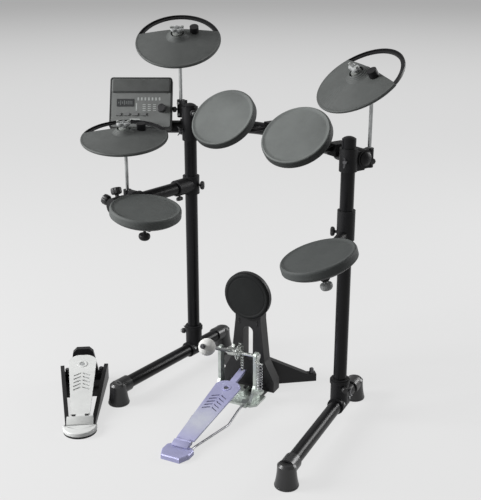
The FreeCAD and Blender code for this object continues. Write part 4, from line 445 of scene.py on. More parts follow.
def dust_group():
    """Mask of settled dust: upward faces, broken by soft noise."""
    tree, enter, leave = new_group("dust", [("Scale", 40.0), ("Amount", 0.1)], "Mask")
    normal = add(tree, "ShaderNodeNewGeometry").outputs["Normal"]
    height = add(tree, "ShaderNodeSeparateXYZ", {0: normal}).outputs["Z"]
    facing = remap(tree, height, 0.35)
    broken = maths(tree, "MULTIPLY", facing, noise(tree, here(tree), enter["Scale"], 6.0))
    tree.links.new(maths(tree, "MULTIPLY", broken, enter["Amount"]), leave["Mask"])
    return tree


def ring_group():
    """Height of turned grooves: a cosine of ring_r with the given pitch in metres."""
    tree, enter, leave = new_group("rings", [("Pitch", 0.003)], "Height")
    turns = maths(tree, "DIVIDE", ring_radius(tree), enter["Pitch"])
    wave = maths(tree, "COSINE", maths(tree, "MULTIPLY", turns, TAU))
    tree.links.new(wave, leave["Height"])
    return tree


def patch_group():
    """Mask of a patch worn by the foot: full at its centre, smoothly gone at its reach, with
    soft noise in it."""
    tree, enter, leave = new_group(
        "worn patch", [("X", 0.0), ("Y", 0.0), ("Z", 0.0), ("Reach", 0.1)], "Mask")
    where = here(tree)
    centre = add(tree, "ShaderNodeCombineXYZ", {axis: enter[axis] for axis in "XYZ"})
    away = add(tree, "ShaderNodeVectorMath", {0: where, 1: centre.outputs[0]}, operation="DISTANCE")
    fade = remap(tree, away.outputs["Value"], 0.0, enter["Reach"], 1.0, 0.0, "SMOOTHSTEP")
    broken = remap(tree, noise(tree, where, 55.0, 4.0), 0.25, 0.6, 0.7)
    tree.links.new(maths(tree, "MULTIPLY", fade, broken), leave["Mask"])
    return tree


MOTTLE = mottle_group()
GRAIN = grain_group()
SCUFFS = scuff_group()
DUST = dust_group()
RINGS = ring_group()
PATCH = patch_group()
DUST_COLOUR = (0.42, 0.41, 0.39, 1.0)
DUST_SCALE = 45.0
GRAIN_DEPTH = 0.0006   # metres, as the two below
GROOVE_DEPTH = 0.0008
# Width over which the painted shade on the toms' skirts fades in
SHADED_SKIRT_FADE = 0.002


def use(tree, group, **values):
    """Places a shader group in a material with its own values."""
    return add(tree, "ShaderNodeGroup", values, node_tree=group).outputs[0]


def finish(name, base, rough, metal=0.0, mottle=(25.0, 0.12), grain=(900.0, 0.4, 0.12),
           scuff=(60.0, 0.25), dust=0.05, rings=None, coat=0.0, sheen=0.0, shine=0.5, patch=None,
           skirt=None):
    """Material of one finish: mottled colour with rubs and dust over it, roughness that the rubs
    change, and grain, with turned grooves where asked, as relief. A patch (centre, reach, colour)
    is worn paler. A skirt (radius, colour) is painted shade: that darker colour is laid on what
    lies beyond that radius in ring_r. The rest are mottle (scale, depth), grain (scale, share of
    cells, strength), scuff (scale, amount) and rings (pitch, strength)."""
    material = bpy.data.materials.new(name)
    material.use_nodes = True
    tree = material.node_tree
    shader = tree.nodes["Principled BSDF"]
    for label, value in (("Metallic", metal), ("Coat Weight", coat), ("Sheen Weight", sheen),
                         ("Specular IOR Level", shine)):
        shader.inputs[label].default_value = value
    colour = use(tree, MOTTLE, Color=(*base, 1.0), Scale=mottle[0], Depth=mottle[1])
    if patch:
        (x, y, z), reach, paler = patch
        colour = mixed(tree, use(tree, PATCH, X=x, Y=y, Z=z, Reach=reach), colour, (*paler, 1.0))
    # Painted shade: a darker colour is laid on the rubber beyond the skirt radius, for the shade on a
    # pad's skirt
    if skirt:
        radius, painted_shade = skirt
        beyond = remap(tree, ring_radius(tree), radius - SHADED_SKIRT_FADE, radius)
        colour = mixed(tree, beyond, colour, (*painted_shade, 1.0))
    rubs = use(tree, SCUFFS, Scale=scuff[0], Amount=scuff[1])
    rubbed = tuple(min(1.0, c * 1.5 + 0.012) for c in base) + (1.0,)
    settled = use(tree, DUST, Scale=DUST_SCALE, Amount=dust)
    colour = mixed(tree, settled, mixed(tree, rubs, colour, rubbed), DUST_COLOUR)
    tree.links.new(colour, shader.inputs["Base Color"])
    rougher = remap(tree, rubs, start=rough, end=min(1.0, rough + 0.25))
    tree.links.new(rougher, shader.inputs["Roughness"])
    height = use(tree, GRAIN, Scale=grain[0], Cells=grain[1])
    relief = add(tree, "ShaderNodeBump", {"Height": height, "Strength": grain[2],
                                          "Distance": GRAIN_DEPTH})
    if rings:
        grooves = use(tree, RINGS, Pitch=rings[0])
        relief = add(tree, "ShaderNodeBump", {"Height": grooves, "Strength": rings[1],
                                              "Distance": GROOVE_DEPTH,
                                              "Normal": relief.outputs[0]})
    tree.links.new(relief.outputs[0], shader.inputs["Normal"])
    return material


# Finishes: what several of them share, then one for each slot, then those of single pieces

BLACK = {"dust": 0.03, "shine": 0.18}
PAD = {"mottle": (20.0, 0.08), "grain": (1700.0, 0.8, 0.30), "scuff": (110.0, 0.18), "dust": 0.03,
       "shine": 0.35}
CASE = {"mottle": (30.0, 0.1), "grain": (1500.0, 0.7, 0.25), "dust": 0.03}
ANODISED = {"metal": 0.3, "mottle": (14.0, 0.10), "grain": (1900.0, 0.4, 0.12), "scuff": (70.0, 0.3),
            "dust": 0.03}
GREY = {"mottle": (40.0, 0.1), "scuff": (60.0, 0.1), "dust": 0.02, "shine": 0.35}
WEAR_PATCH = (to_row(placed([0.0, BOARD_WEAR_Y, 0.0], KICK_BOARD_AXES, KICK_BOARD_AT)), 0.105,
              (0.60, 0.62, 0.70))
# Painted shade: the toms' skirts are given a darker colour than their face, for the shade under their
# rims
TOM_SHADED_SKIRT = ((PAD_R - 0.7) / 1000, (0.026, 0.029, 0.028))
FINISH = {
    "rack_tube": finish("powder coated tube", (0.006, 0.006, 0.007), 0.30, mottle=(18.0, 0.2),
                        grain=(1400.0, 0.3, 0.015), scuff=(45.0, 0.1), dust=0.02, shine=0.18),
    "joint_casting": finish("black nylon casting", (0.010, 0.010, 0.011), 0.46, mottle=(30.0, 0.2),
                            grain=(1100.0, 0.6, 0.22), scuff=(70.0, 0.3), **BLACK),
    "boot_rubber": finish("boot rubber", (0.014, 0.014, 0.015), 0.33, mottle=(35.0, 0.22),
                          grain=(1500.0, 0.7, 0.06), scuff=(80.0, 0.2), dust=0.03, shine=0.6),
    "cap_plastic": finish("cap plastic", (0.014, 0.014, 0.015), 0.42, grain=(1300.0, 0.5, 0.15),
                          **BLACK),
    "bolt_steel": finish("zinc plated bolt", (0.46, 0.47, 0.47), 0.34, metal=0.9,
                         mottle=(60.0, 0.18), grain=(1600.0, 0.2, 0.12), dust=0.04),
    "rod_steel": finish("plated rod", (0.36, 0.37, 0.37), 0.30, metal=0.85, mottle=(45.0, 0.14),
                        grain=(1800.0, 0.1, 0.08), scuff=(120.0, 0.35), dust=0.03),
    "cymbal_base": finish("cymbal base plastic", (0.010, 0.010, 0.011), 0.44,
                          grain=(1200.0, 0.6, 0.16), **BLACK),
    "cymbal_skin": finish("cymbal rubber", (0.072, 0.077, 0.075), 0.62, mottle=(22.0, 0.10),
                          grain=(1500.0, 0.5, 0.20), scuff=(90.0, 0.22), dust=0.04,
                          rings=(GROOVE_PITCH / 1000, 0.35), shine=0.35),
    "cymbal_fitting": finish("felt and nut", (0.30, 0.31, 0.30), 0.7, mottle=(90.0, 0.2),
                             grain=(1300.0, 0.3, 0.35), dust=0.03),
    "pad_skin": finish("pad rubber", (0.125, 0.134, 0.130), 0.66, skirt=TOM_SHADED_SKIRT, **PAD),
    "pad_base": finish("pad shell plastic", (0.011, 0.011, 0.012), 0.44, grain=(1200.0, 0.6, 0.18),
                       **BLACK),
    "knob_plastic": finish("grey knob plastic", (0.30, 0.31, 0.31), 0.5, grain=(900.0, 0.5, 0.06),
                           **GREY),
    "module_body": finish("module case plastic", (0.032, 0.033, 0.033), 0.60, shine=0.2, **CASE),
    "module_face": finish("module face plastic", (0.185, 0.192, 0.188), 0.68, mottle=(26.0, 0.08),
                          grain=(1700.0, 0.7, 0.2), scuff=(90.0, 0.15), dust=0.03, shine=0.12),
    "module_lens": finish("smoked window", (0.030, 0.032, 0.033), 0.16, mottle=(40.0, 0.2),
                          grain=(500.0, 0.1, 0.02), scuff=(150.0, 0.12), dust=0.02, coat=0.4),
    "module_key": finish("key plastic", (0.15, 0.155, 0.155), 0.45, grain=(1500.0, 0.5, 0.12)),
    "module_dial": finish("dial plastic", (0.040, 0.040, 0.042), 0.48, grain=(1500.0, 0.5, 0.18),
                          shine=0.4),
    "tower_plastic": finish("tower plastic", (0.012, 0.012, 0.013), 0.50, mottle=(16.0, 0.15),
                            grain=(1000.0, 0.7, 0.20), dust=0.03, shine=0.35),
    "kick_skin": finish("kick rubber", (0.012, 0.013, 0.013), 0.64, mottle=(20.0, 0.12),
                        grain=(1500.0, 0.7, 0.28), scuff=(70.0, 0.3), rings=(0.004, 0.2), **BLACK),
    "pedal_casting": finish("blasted casting", (0.50, 0.54, 0.51), 0.42, metal=0.75,
                            mottle=(35.0, 0.2), grain=(1500.0, 0.6, 0.25), dust=0.04),
    "pedal_plate": finish("anodised plate", (0.42, 0.42, 0.64), 0.36, patch=WEAR_PATCH, **ANODISED),
    "pedal_steel": finish("plated steel wire", (0.34, 0.34, 0.36), 0.32, metal=0.9,
                          mottle=(60.0, 0.15), grain=(1800.0, 0.2, 0.10)),
    "axle_steel": finish("bright plated steel", (0.58, 0.60, 0.58), 0.26, metal=0.95,
                         mottle=(60.0, 0.12), grain=(1800.0, 0.2, 0.08)),
    "beater_felt": finish("white felt", (0.66, 0.66, 0.64), 0.95, mottle=(120.0, 0.10),
                          grain=(700.0, 0.2, 0.7), scuff=(200.0, 0.2), dust=0.03, sheen=0.3),
    "hihat_frame": finish("black painted frame", (0.010, 0.010, 0.011), 0.38, mottle=(24.0, 0.2),
                          grain=(1300.0, 0.4, 0.15), dust=0.04, shine=0.18),
    "hihat_plate": finish("white painted plate", (0.66, 0.67, 0.66), 0.40, mottle=(18.0, 0.06),
                          grain=(1500.0, 0.4, 0.10), scuff=(70.0, 0.2), dust=0.03, coat=0.2)}
PAINT_MARK = finish("pale print", (0.40, 0.42, 0.41), 0.55, mottle=(200.0, 0.15), dust=0.0)
GRIP_RUBBER = finish("grip rubber", (0.06, 0.06, 0.075), 0.75, mottle=(60.0, 0.15),
                     grain=(1500.0, 0.7, 0.3))
PALE_RUBBER = finish("grey tread rubber", (0.34, 0.35, 0.35), 0.75, mottle=(60.0, 0.12),
                     grain=(1500.0, 0.7, 0.3))
# Painted shade: the heel's lavender made darker for the kick's hinge cover, whose slope faces the key
# lamp
SHADED_HINGE_LAVENDER = finish("lavender hinge cover", (0.29, 0.29, 0.455), 0.6, mottle=(20.0, 0.08),
                        grain=(900.0, 0.4, 0.06), shine=0.35)
HINGE_GREY = finish("grey hinge cover", (0.50, 0.51, 0.50), 0.45, mottle=(30.0, 0.1),
                    grain=(1500.0, 0.4, 0.12))
BLACK_SCREW = finish("blackened screw", (0.05, 0.05, 0.052), 0.35, metal=0.8, mottle=(90.0, 0.2),
                     grain=(1800.0, 0.2, 0.12))
KNOB_BLACK = finish("black knob", (0.012, 0.012, 0.013), 0.42, grain=(1400.0, 0.6, 0.2), shine=0.45)
GREY_FELT = finish("grey felt", (0.16, 0.17, 0.16), 0.95, mottle=(160.0, 0.15),
                   grain=(800.0, 0.2, 0.5), dust=0.02, sheen=0.2)
NUT_GREY = finish("pale nut", (0.34, 0.35, 0.35), 0.5, grain=(900.0, 0.3, 0.05), **GREY)
# Painted shade: the snare's and the floor tom's pads are the same rubber made darker, for the dimmer
# light on their flatter faces
SNARE_SHADED_RUBBER = finish("pad rubber of the snare", (0.074, 0.080, 0.078), 0.66, **PAD)
FLOOR_SHADED_RUBBER = finish("pad rubber of the floor tom", (0.055, 0.060, 0.059), 0.66, **PAD)
HEEL_PLATE = finish("anodised heel", (0.40, 0.40, 0.62), 0.38, **ANODISED)
BROW_GREY = finish("module brow plastic", (0.094, 0.098, 0.096), 0.68, shine=0.12, **CASE)
WING_STEEL = finish("blackened wing bolt", (0.11, 0.11, 0.115), 0.42, metal=0.7, mottle=(60.0, 0.18),
                    grain=(1600.0, 0.2, 0.12), dust=0.03)
DIM_PRINT = finish("dim print", (0.16, 0.17, 0.17), 0.5, mottle=(200.0, 0.15), dust=0.0)

for part in frame["record"]["subparts"]:
    for holder in NODES[part["node"]].material_slots:
        holder.material = FINISH[part["material_slot"]]
for node, material in (("heel_plate", HEEL_PLATE), ("rack_bolts", WING_STEEL),
                       ("floor_spikes", WING_STEEL)):
    NODES[node].material_slots[0].material = material


# Cymbal skins

BELL_EDGE_R = BELL_R * math.sin(math.radians(BELL_HALF_ANGLE))
BELL_EDGE_Z = BELL_R * math.cos(math.radians(BELL_HALF_ANGLE))
RIM_TOP = BELL_DROP - RIM_DROP


def bow_z(r):
    """Height of the cymbal's cone above its rocking centre, straight from bell to rim."""
    share = (r - BELL_EDGE_R) / (CYMBAL_R - BELL_EDGE_R)
    return BELL_EDGE_Z + (RIM_TOP - BELL_EDGE_Z) * share


CUT_ROLL = ((2.0, SKIN_T - 0.7), (0.9, SKIN_T - 1.5), (0.4, SKIN_T - 2.0), (0.25, SKIN_T - 2.4),
            (0.0, 1.2), (0.0, 0.7), (0.0, 0.3), (0.0, 0.1))
RIM_ROLL = ((-2.8, 4.75), (-0.8, 4.7), (0.9, 3.6), (1.5, 1.6), (1.3, -0.8), (0.0, -3.4),
            (-1.8, -4.6), (-2.4, -3.6))


def cymbal_skin(axes, origin):
    """Playing skin: spokes from the bell hole out to the rim or to the straight rear edge, at
    r = min(rim, cut / sin a). Over each spoke the section climbs the inner roll, crosses the
    top with a slight swell, rolls over the edge and returns underneath. At the rim the roll
    wraps the lip and the wall of the base."""
    steps = 240
    a = np.linspace(0, TAU, steps, endpoint=False)
    reach = np.where(np.sin(a) > 1e-6, CYMBAL_CUT / np.maximum(np.sin(a), 1e-6), CYMBAL_R)
    reach = np.minimum(reach, CYMBAL_R)[:, None]
    share = np.linspace(0, 1, 46)
    top_r = SKIN_HOLE_R + 3 + (reach - RIM_BEVEL - SKIN_HOLE_R - 3) * share
    swell = 0.5 * np.sin(math.pi * share)
    top = np.stack([top_r, bow_z(top_r) + SKIN_T - 0.3 + swell], -1)
    inner = [(SKIN_HOLE_R, 0.1), (SKIN_HOLE_R + 0.6, SKIN_T * 0.55), (SKIN_HOLE_R + 1.7, SKIN_T * 0.86)]
    inner = [np.stack([np.full_like(reach, r), np.full_like(reach, bow_z(r) + rise)], -1)
             for r, rise in inner]
    at_rim = reach > CYMBAL_R - 0.01
    roll = []
    for (back, rise), (out, drop) in zip(CUT_ROLL, RIM_ROLL):
        r = np.where(at_rim, CYMBAL_R + out, reach - back)
        roll.append(np.stack([r, np.where(at_rim, RIM_TOP + drop, bow_z(r) + rise)], -1))
    profile = np.concatenate(inner + [top] + roll, 1)
    r, z = profile[..., 0], profile[..., 1]
    local = np.stack([r * np.cos(a)[:, None], r * np.sin(a)[:, None], z], -1)
    return placed(local, axes, origin), True, True


def bell_cover(axes, origin):
    """Rubber bell: a cone that sweeps up from the skin round the felt, open at its top."""
    foot = bow_z(BELL_FOOT_R) + SKIN_T
    share = np.linspace(0, 1, 14)
    flank_r = BELL_FOOT_R + (BELL_MOUTH_R + 1.2 - BELL_FOOT_R) * share
    flank_z = foot - 0.6 + (BELL_TOP - foot - 0.4) * share ** 1.6
    flank = np.stack([flank_r, flank_z], -1)
    mouth = [(BELL_MOUTH_R + 0.5, BELL_TOP - 0.2), (BELL_MOUTH_R - 0.4, BELL_TOP - 0.2),
             (BELL_MOUTH_R - 1.0, BELL_TOP - 0.9), (BELL_MOUTH_R - 1.0, foot + 1.5),
             (SKIN_HOLE_R + 1.5, foot - 2.0)]
    return lathe(np.concatenate([flank, mouth]), axes, origin, 96)


FELT = ((5.2, FELT_LOW), (13.4, FELT_LOW), (14.3, FELT_LOW + 1.4), (14.5, FELT_LOW + 4),
        (14.3, FELT_HIGH - 2.2), (13.2, FELT_HIGH - 0.4), (11.5, FELT_HIGH + 0.1),
        (5.2, FELT_HIGH + 0.1))
NUT = ((5.4, 0.2), (8.8, 0.2), (9.2, 1.5), (8.8, 8.0), (7.6, 13.4), (5.4, 13.4))
NUT_WINGS = ((0.0, 3.4), (10.2, 3.6), (13.0, 6.5), (14.2, 11.0), (13.2, 14.6), (10.0, 15.4), (0.0, 13.8))
for name, (centre, tilt, azimuth, turn) in CYMBALS.items():
    axes = disc_axes(tilt, azimuth, turn)
    pivot = np.array(centre) + axes[:, 2] * (RIM_DROP - BELL_DROP)
    skin = build(name + "_skin", [cymbal_skin(axes, pivot), bell_cover(axes, pivot)],
                 name + "_cymbal", "cymbal_skin", replaces=[name + "_rubber"], sharp=60.0)
    ring_attribute(skin, axes, pivot)
    felt = build(name + "_felt", [lathe(FELT, axes, pivot, 64)], name + "_stand", "cymbal_fitting",
                 GREY_FELT)
    top = pivot + axes[:, 2] * FELT_HIGH
    build(name + "_wing_nut", [lathe(NUT, axes, top, 40), lathe(NUT_WINGS, axes, top, 64, 2, 0.42)],
          name + "_stand", "cymbal_fitting", NUT_GREY)


# Drum pad heads

def drum_head(axes, origin):
    """Rubber head: a faintly crowned face sunk below the rim, a sloping wall up to a narrow
    crest, a quarter-ellipse shoulder, a straight skirt and a rolled hem, with the inside closed
    flat."""
    r = np.linspace(0, PAD_FACE_R - 5, 26)
    face = np.stack([r, 0.6 * (1 - (r / PAD_FACE_R) ** 2) - PAD_SINK], -1)
    share = np.linspace(0, 1, 8)[1:]
    wall = np.stack([PAD_FACE_R - 5 + 8.5 * share, PAD_SINK * (share ** 1.4 - 1)], -1)
    a = np.linspace(0, math.pi / 2, 9)[1:]
    crest = PAD_FACE_R + 3.5
    shoulder = np.stack([crest + (PAD_R - crest) * np.sin(a), -8.0 + 8.0 * np.cos(a)], -1)
    skirt = [(PAD_R, -12.0), (PAD_R - 0.2, -16.0), (PAD_R, -19.0), (PAD_R - 0.1, -PAD_SKIRT + 2.2),
             (PAD_R - 0.8, -PAD_SKIRT + 0.7), (PAD_R - 2.0, -PAD_SKIRT), (PAD_R - 5.4, -PAD_SKIRT),
             (PAD_R - 5.9, -PAD_SKIRT + 0.8), (PAD_R - 5.9, -5.2), (0.0, -5.2)]
    return lathe(np.concatenate([face, wall, shoulder, skirt]), axes, origin, 160)


for name, (centre, tilt, azimuth) in DRUMS.items():
    axes = disc_axes(tilt, azimuth)
    # The snare and the floor tom take the darker painted-shade copies of the pad rubber
    rubber = {"snare": SNARE_SHADED_RUBBER, "floor": FLOOR_SHADED_RUBBER}.get(name)
    body = {"floor": "floor_tom"}.get(name, name)
    head = build(name + "_face", [drum_head(axes, centre)], body, "pad_skin", rubber,
                 [name + "_head"], sharp=40.0)
    ring_attribute(head, axes, centre)


# Kick pad and beater

def kick_face():
    """Round kick rubber: crowned face, a ring step and a rolled edge, on the tower's disc."""
    axes = KICK_AXES @ axes_along((0, -1, 0))
    origin = kick(0, KICK_PAD_Y + KICK_PAD_T, KICK_PAD_Z)
    r = np.linspace(0, KICK_PAD_R - 13, 22)
    face = np.stack([r, KICK_PAD_T - 0.9 * (r / KICK_PAD_R) ** 2 - 0.1], -1)
    step = [(KICK_PAD_R - 12.4, KICK_PAD_T - 1.5), (KICK_PAD_R - 11.2, KICK_PAD_T - 1.5),
            (KICK_PAD_R - 10.4, KICK_PAD_T - 0.9)]
    a = np.linspace(0, math.pi / 2, 9)
    roll = np.stack([KICK_PAD_R - 6.1 + 6 * np.sin(a), KICK_PAD_T - 6.6 + 6 * np.cos(a)], -1)
    back = [(KICK_PAD_R - 0.1, 0.1), (0.0, 0.1)]
    profile = np.concatenate([face, step, roll, back])
    pad = build("kick_face", [lathe(profile, axes, origin, 128)], "rack", "kick_skin",
                replaces=["kick_pad"], sharp=40.0)
    ring_attribute(pad, axes, origin)


def beater_ball():
    """Felt ball turned about the striking direction, r = R sin a with a pressed seam round its
    middle, and a dark cap over the nut at the end of the rod."""
    origin = kick(*(HUB_AT + BEATER_OUT * BEATER_LENGTH))
    a = np.linspace(0, math.pi, 61)
    r = BEATER_HEAD_R - 0.1 - 0.5 * np.exp(-((a - math.pi / 2) / 0.035) ** 2)
    profile = np.stack([r * np.sin(a), -r * np.cos(a)], -1)
    axes = KICK_AXES @ axes_along(BEATER_AHEAD)
    felt = build("beater_ball", [lathe(profile, axes, origin, 96)], "beater", "beater_felt",
                 replaces=["beater_head"], sharp=45.0)
    top = BEATER_HEAD_R + 5.0
    cap = [(0.0, top + 1.0), (3.0, top + 1.0), (3.0, top + 2.4), (5.4, top + 2.2), (7.0, top + 0.9),
           (7.4, top - 1.0), (7.4, BEATER_HEAD_R - 0.5), (0.0, BEATER_HEAD_R - 0.5)]
    build("beater_cap", [lathe(cap, KICK_AXES @ axes_along(BEATER_OUT), origin, 48)], "beater",
          "rod_steel", BLACK_SCREW)


kick_face()
beater_ball()


# Chain and spring

LINK_R = 3.6
LINK_WAIST = 0.9
PIN_PROFILE = ((0, -4.5), (1.5, -4.5), (1.7, -4.2), (1.7, -2.0), (2.6, -2.0), (2.6, 2.0), (1.7, 2.0),
               (1.7, 4.2), (1.5, 4.5), (0, 4.5))
PLATE_LEVELS = ((0.3, -0.5), (0.0, -0.3), (0.0, 0.3), (0.3, 0.5))
INNER_PLATE = 2.65     # from the chain's middle to the middle of a plate
OUTER_PLATE = 3.75


def link_outline(length):
    """Side plate of one chain link: round ends about its two pins, joined by a waist of half
    width R - waist (1 - u^2)."""
    end = np.linspace(-math.pi / 2, math.pi / 2, 9)
    right = np.stack([np.cos(end) * LINK_R + length / 2, np.sin(end) * LINK_R], -1)
    u = np.linspace(0.7, -0.7, 5)
    top = np.stack([u * length / 2, LINK_R - LINK_WAIST * (1 - u ** 2)], -1)
    return np.concatenate([right, top, -right, -top])


def chain_pieces(pins, first, name, body, replaces=()):
    """Roller chain through its pins (y, z): rollers with pin heads at each pin and pairs of
    waisted plates between neighbours, inner and outer by turns."""
    pins = [np.array([0.0, y, z]) for y, z in pins]
    axes = KICK_AXES @ axes_along((1, 0, 0), (0, 0, 1))
    grids = [lathe(PIN_PROFILE, axes, kick(*pin), 12) for pin in pins]
    for k, (low, high) in enumerate(zip(pins, pins[1:])):
        outline = link_outline(np.linalg.norm(high - low))
        run = unit(high - low)
        axes = KICK_AXES @ np.stack([run, np.cross([1.0, 0, 0], run), [1.0, 0.0, 0.0]], 1)
        offset = INNER_PLATE if (k + first) % 2 else OUTER_PLATE
        for side in (-offset, offset):
            at = (low + high) / 2 + np.array([side, 0.0, 0.0])
            grids.append(stacked(outline, PLATE_LEVELS, axes, kick(*at)))
    return build(name, grids, body, "axle_steel", replaces=replaces)


run_z = np.linspace(CHAIN_LOW, AXLE_Z, CHAIN_RUN_LINKS + 1)
wrap_a = np.radians(CHAIN_WRAP_STEP * np.arange(CHAIN_WRAP_LINKS + 1))
chain = chain_pieces([(SPROCKET_R, z) for z in run_z], 0, "chain_run", None, ["pedal_chain"])
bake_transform(chain)
chain_pieces([(SPROCKET_R * math.cos(a), AXLE_Z + SPROCKET_R * math.sin(a)) for a in wrap_a],
             CHAIN_RUN_LINKS, "chain_wrap", "beater")


def spring_wire():
    """Return spring: one wire in even turns of one radius, drawn a little closer at half height
    than at its ends by z = share + 0.035 sin(2 pi share) of its height."""
    turns = np.linspace(0, SPRING_TURNS, SPRING_TURNS * 28 + 1)
    share = turns / SPRING_TURNS
    rise = share + 0.035 * np.sin(TAU * share)
    z = SPRING_LOW + (SPRING_HIGH - SPRING_LOW) * rise
    path = np.stack([SPRING_X + SPRING_R * np.cos(TAU * turns),
                     SPRING_Y + SPRING_R * np.sin(TAU * turns), z], -1)
    a = np.linspace(0, TAU, 10, endpoint=False)
    wire = np.stack([np.cos(a), np.sin(a)], -1) * SPRING_WIRE_R
    return sweep(placed(path, KICK_AXES, KICK_AT), wire, UP)


spring = build("return_spring", [spring_wire()], None, "pedal_steel", replaces=["pedal_spring"],
               sharp=60.0)
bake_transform(spring)


# Knobs and screws

def round_knob(at, out, reach, size=1.0):
    """Fluted knob whose stem starts at a distance from a point, along the way out."""
    profile = np.array([(0.0, -1.5), (4.2, -1.5), (4.2, 4.0), (9.6, 5.2), (11.2, 7.5), (11.4, 16.0),
                        (10.2, 18.6), (7.0, 19.6), (0.0, 19.8)]) * size
    out = unit(out)
    return lathe(profile, axes_along(out), np.array(at) + out * reach, 72, 9, 0.045)


def wing_knob(at, out, reach, size=1.0):
    """Two-winged knob on a stem, its wings lobes of the radius."""
    profile = np.array([(0.0, -1.5), (3.6, -1.5), (3.6, 5.0), (7.6, 6.2), (10.6, 9.0), (11.4, 14.0),
                        (10.4, 18.5), (7.4, 20.0), (0.0, 18.4)]) * size
    out = unit(out)
    return lathe(profile, axes_along(out, UP), np.array(at) + out * reach, 64, 2, 0.4)


def socket_screw(at, out, reach, size=1.0):
    """Cap screw with a six-sided socket, its recess a lobed bore."""
    out = unit(out)
    axes = axes_along(out)
    origin = np.array(at) + out * reach
    head = np.array([(2.0, 1.0), (2.0, 2.9), (3.2, 2.9), (3.7, 2.4), (3.7, -1.0), (0.0, -1.0)]) * size
    well = np.array([(0.0, 1.2), (1.9, 1.2), (2.1, 2.9)]) * size
    return [lathe(head, axes, origin, 28), lathe(well, axes, origin, 24, 6, 0.07)]


LEFT_OUT = (-0.86, -0.5, 0)
RIGHT_OUT = (0.86, -0.5, 0)
HANGING = (0.1, -0.3, -1)
build("rack_knobs", [
    round_knob((-POST_X, 0, TOP_KNOB_Z), RIGHT_OUT, SLEEVE_R, 0.8),
    round_knob((*CRASH_HOLDER, 826), (-0.5, -0.86, 0), HOLDER_R, 0.72),
    round_knob((*RIDE_HOLDER, 757), RIGHT_OUT, HOLDER_R, 0.72),
    *[wing_knob((*clamp, BAR_Z), HANGING, SLEEVE_R, 0.8) for clamp in TOM_CLAMPS],
    round_knob((-POST_X, 0, LEG_KNOB_Z), LEFT_OUT, SLEEVE_R, 0.75),
    round_knob((POST_X, 0, LEG_KNOB_Z), RIGHT_OUT, SLEEVE_R, 0.75),
    wing_knob(kick(19.5, 8, 0), UP, 24.0, 0.55)], "rack", "joint_casting", KNOB_BLACK)
build("arm_knobs", [
    round_knob((SNARE_CLAMP_X, -296, ARM_Z), (-0.35, 0.12, 0.93), SLEEVE_R, 1.35),
    round_knob((SNARE_CLAMP_X, -302, ARM_Z), (-0.93, -0.2, 0.3), SLEEVE_R, 1.3),
    round_knob((*HIHAT_HOLDER, 596), (-0.6, -0.8, 0), HOLDER_R, 0.72),
    wing_knob((-POST_X, -52, ARM_Z), -UP, SLEEVE_R, 0.8),
    wing_knob((-POST_X, 0, ARM_Z), (0.94, 0.34, 0), 25.7, 0.85)], "snare_arm", "joint_casting",
      KNOB_BLACK)
build("floor_arm_knob", [wing_knob((POST_X, 0, FLOOR_ARM_Z), (-0.9, -0.44, 0), SLEEVE_R, 0.85)],
      "floor_arm", "joint_casting", KNOB_BLACK)

screws = []
for joint, way, out, steps in TOP_JOINTS:
    for step in steps:
        screws += socket_screw(np.array(joint) + np.array(way) * step, out, SLEEVE_R)
for post, turn, _ in LEGS:
    side, back = turned(turn).T[:2]
    for step in (-22.0, 22.0):
        screws += socket_screw(np.array([post, 0.0, LEG_Z]) - back * step, side + 0.4 * UP, SLEEVE_R)
for z in (812.0, 845.0):
    screws += socket_screw((*CRASH_HOLDER, z), (0.1, -1, 0), HOLDER_R, 1.2)
screws += socket_screw((-POST_X, 0, TOP_KNOB_Z), RIGHT_OUT, SLEEVE_R + 15.6, 1.4)
screws += socket_screw((-POST_X, 0, LEG_KNOB_Z), LEFT_OUT, SLEEVE_R + 14.6, 1.4)
build("rack_screws", screws, "rack", "bolt_steel")

TOWER_FRONT = 63.0
front = KICK_AXES @ np.array([0.0, -1.0, 0.0])
screws = []
for x in (-56.0, 56.0):
    screws += socket_screw(kick(x, -36, 7.0), UP, 0.0)
    screws += socket_screw(kick(x, TOWER_FRONT, 22.0), front, 0.0)
for z in (214.0, 224.0):
    for x in (-30.0, 30.0):
        screws += socket_screw(kick(x, TOWER_FRONT, z), front, 0.0, 0.8)
build("pedal_screws", screws, "rack", "bolt_steel", BLACK_SCREW)


# Footboards

def tread(axes, origin, first_row, ring_y, ring_r):
    """Rubber sheet under a board's chevron slots, and a button in the ring near its toe."""
    low, high = first_row - 12.0, first_row + SLOT_PITCH * (SLOT_ROWS - 1) + SLOT_RISE + 6.0
    under = -BOARD_T / 2
    sheet = stacked(rounded_rect(2 * SLOT_REACH + 8.0, high - low, 5.0) + [0.0, (low + high) / 2],
                    [(0.4, under - 1.2), (0.0, under - 0.9), (0.0, under + 1.6), (0.4, under + 1.8)],
                    axes, origin)
    top = BOARD_T / 2
    button = [(0.0, top + 0.7), (ring_r * 0.5, top + 0.6), (ring_r - 1.2, top + 0.3),
              (ring_r - 0.6, top - 0.2), (0.0, top - 0.2)]
    at = placed([0.0, ring_y, 0.0], axes, origin)
    return [sheet, lathe(button, axes, at, 40)]


build("kick_tread", tread(KICK_BOARD_AXES, KICK_BOARD_AT, 150.0, KICK_BOARD_LENGTH - 34.0, 8.0),
      "kick_footboard", "pedal_plate", GRIP_RUBBER)
build("hihat_tread", tread(HH_BOARD_AXES, HH_BOARD_AT, HH_BOARD_LENGTH - 148.0,
                           HH_BOARD_LENGTH - 40.0, 9.0), "hihat_footboard", "hihat_plate", PALE_RUBBER)


KICK_COVER_FOOT = (-359.0, 17.6)
HH_COVER_FOOT = (-30.0, 19.0)


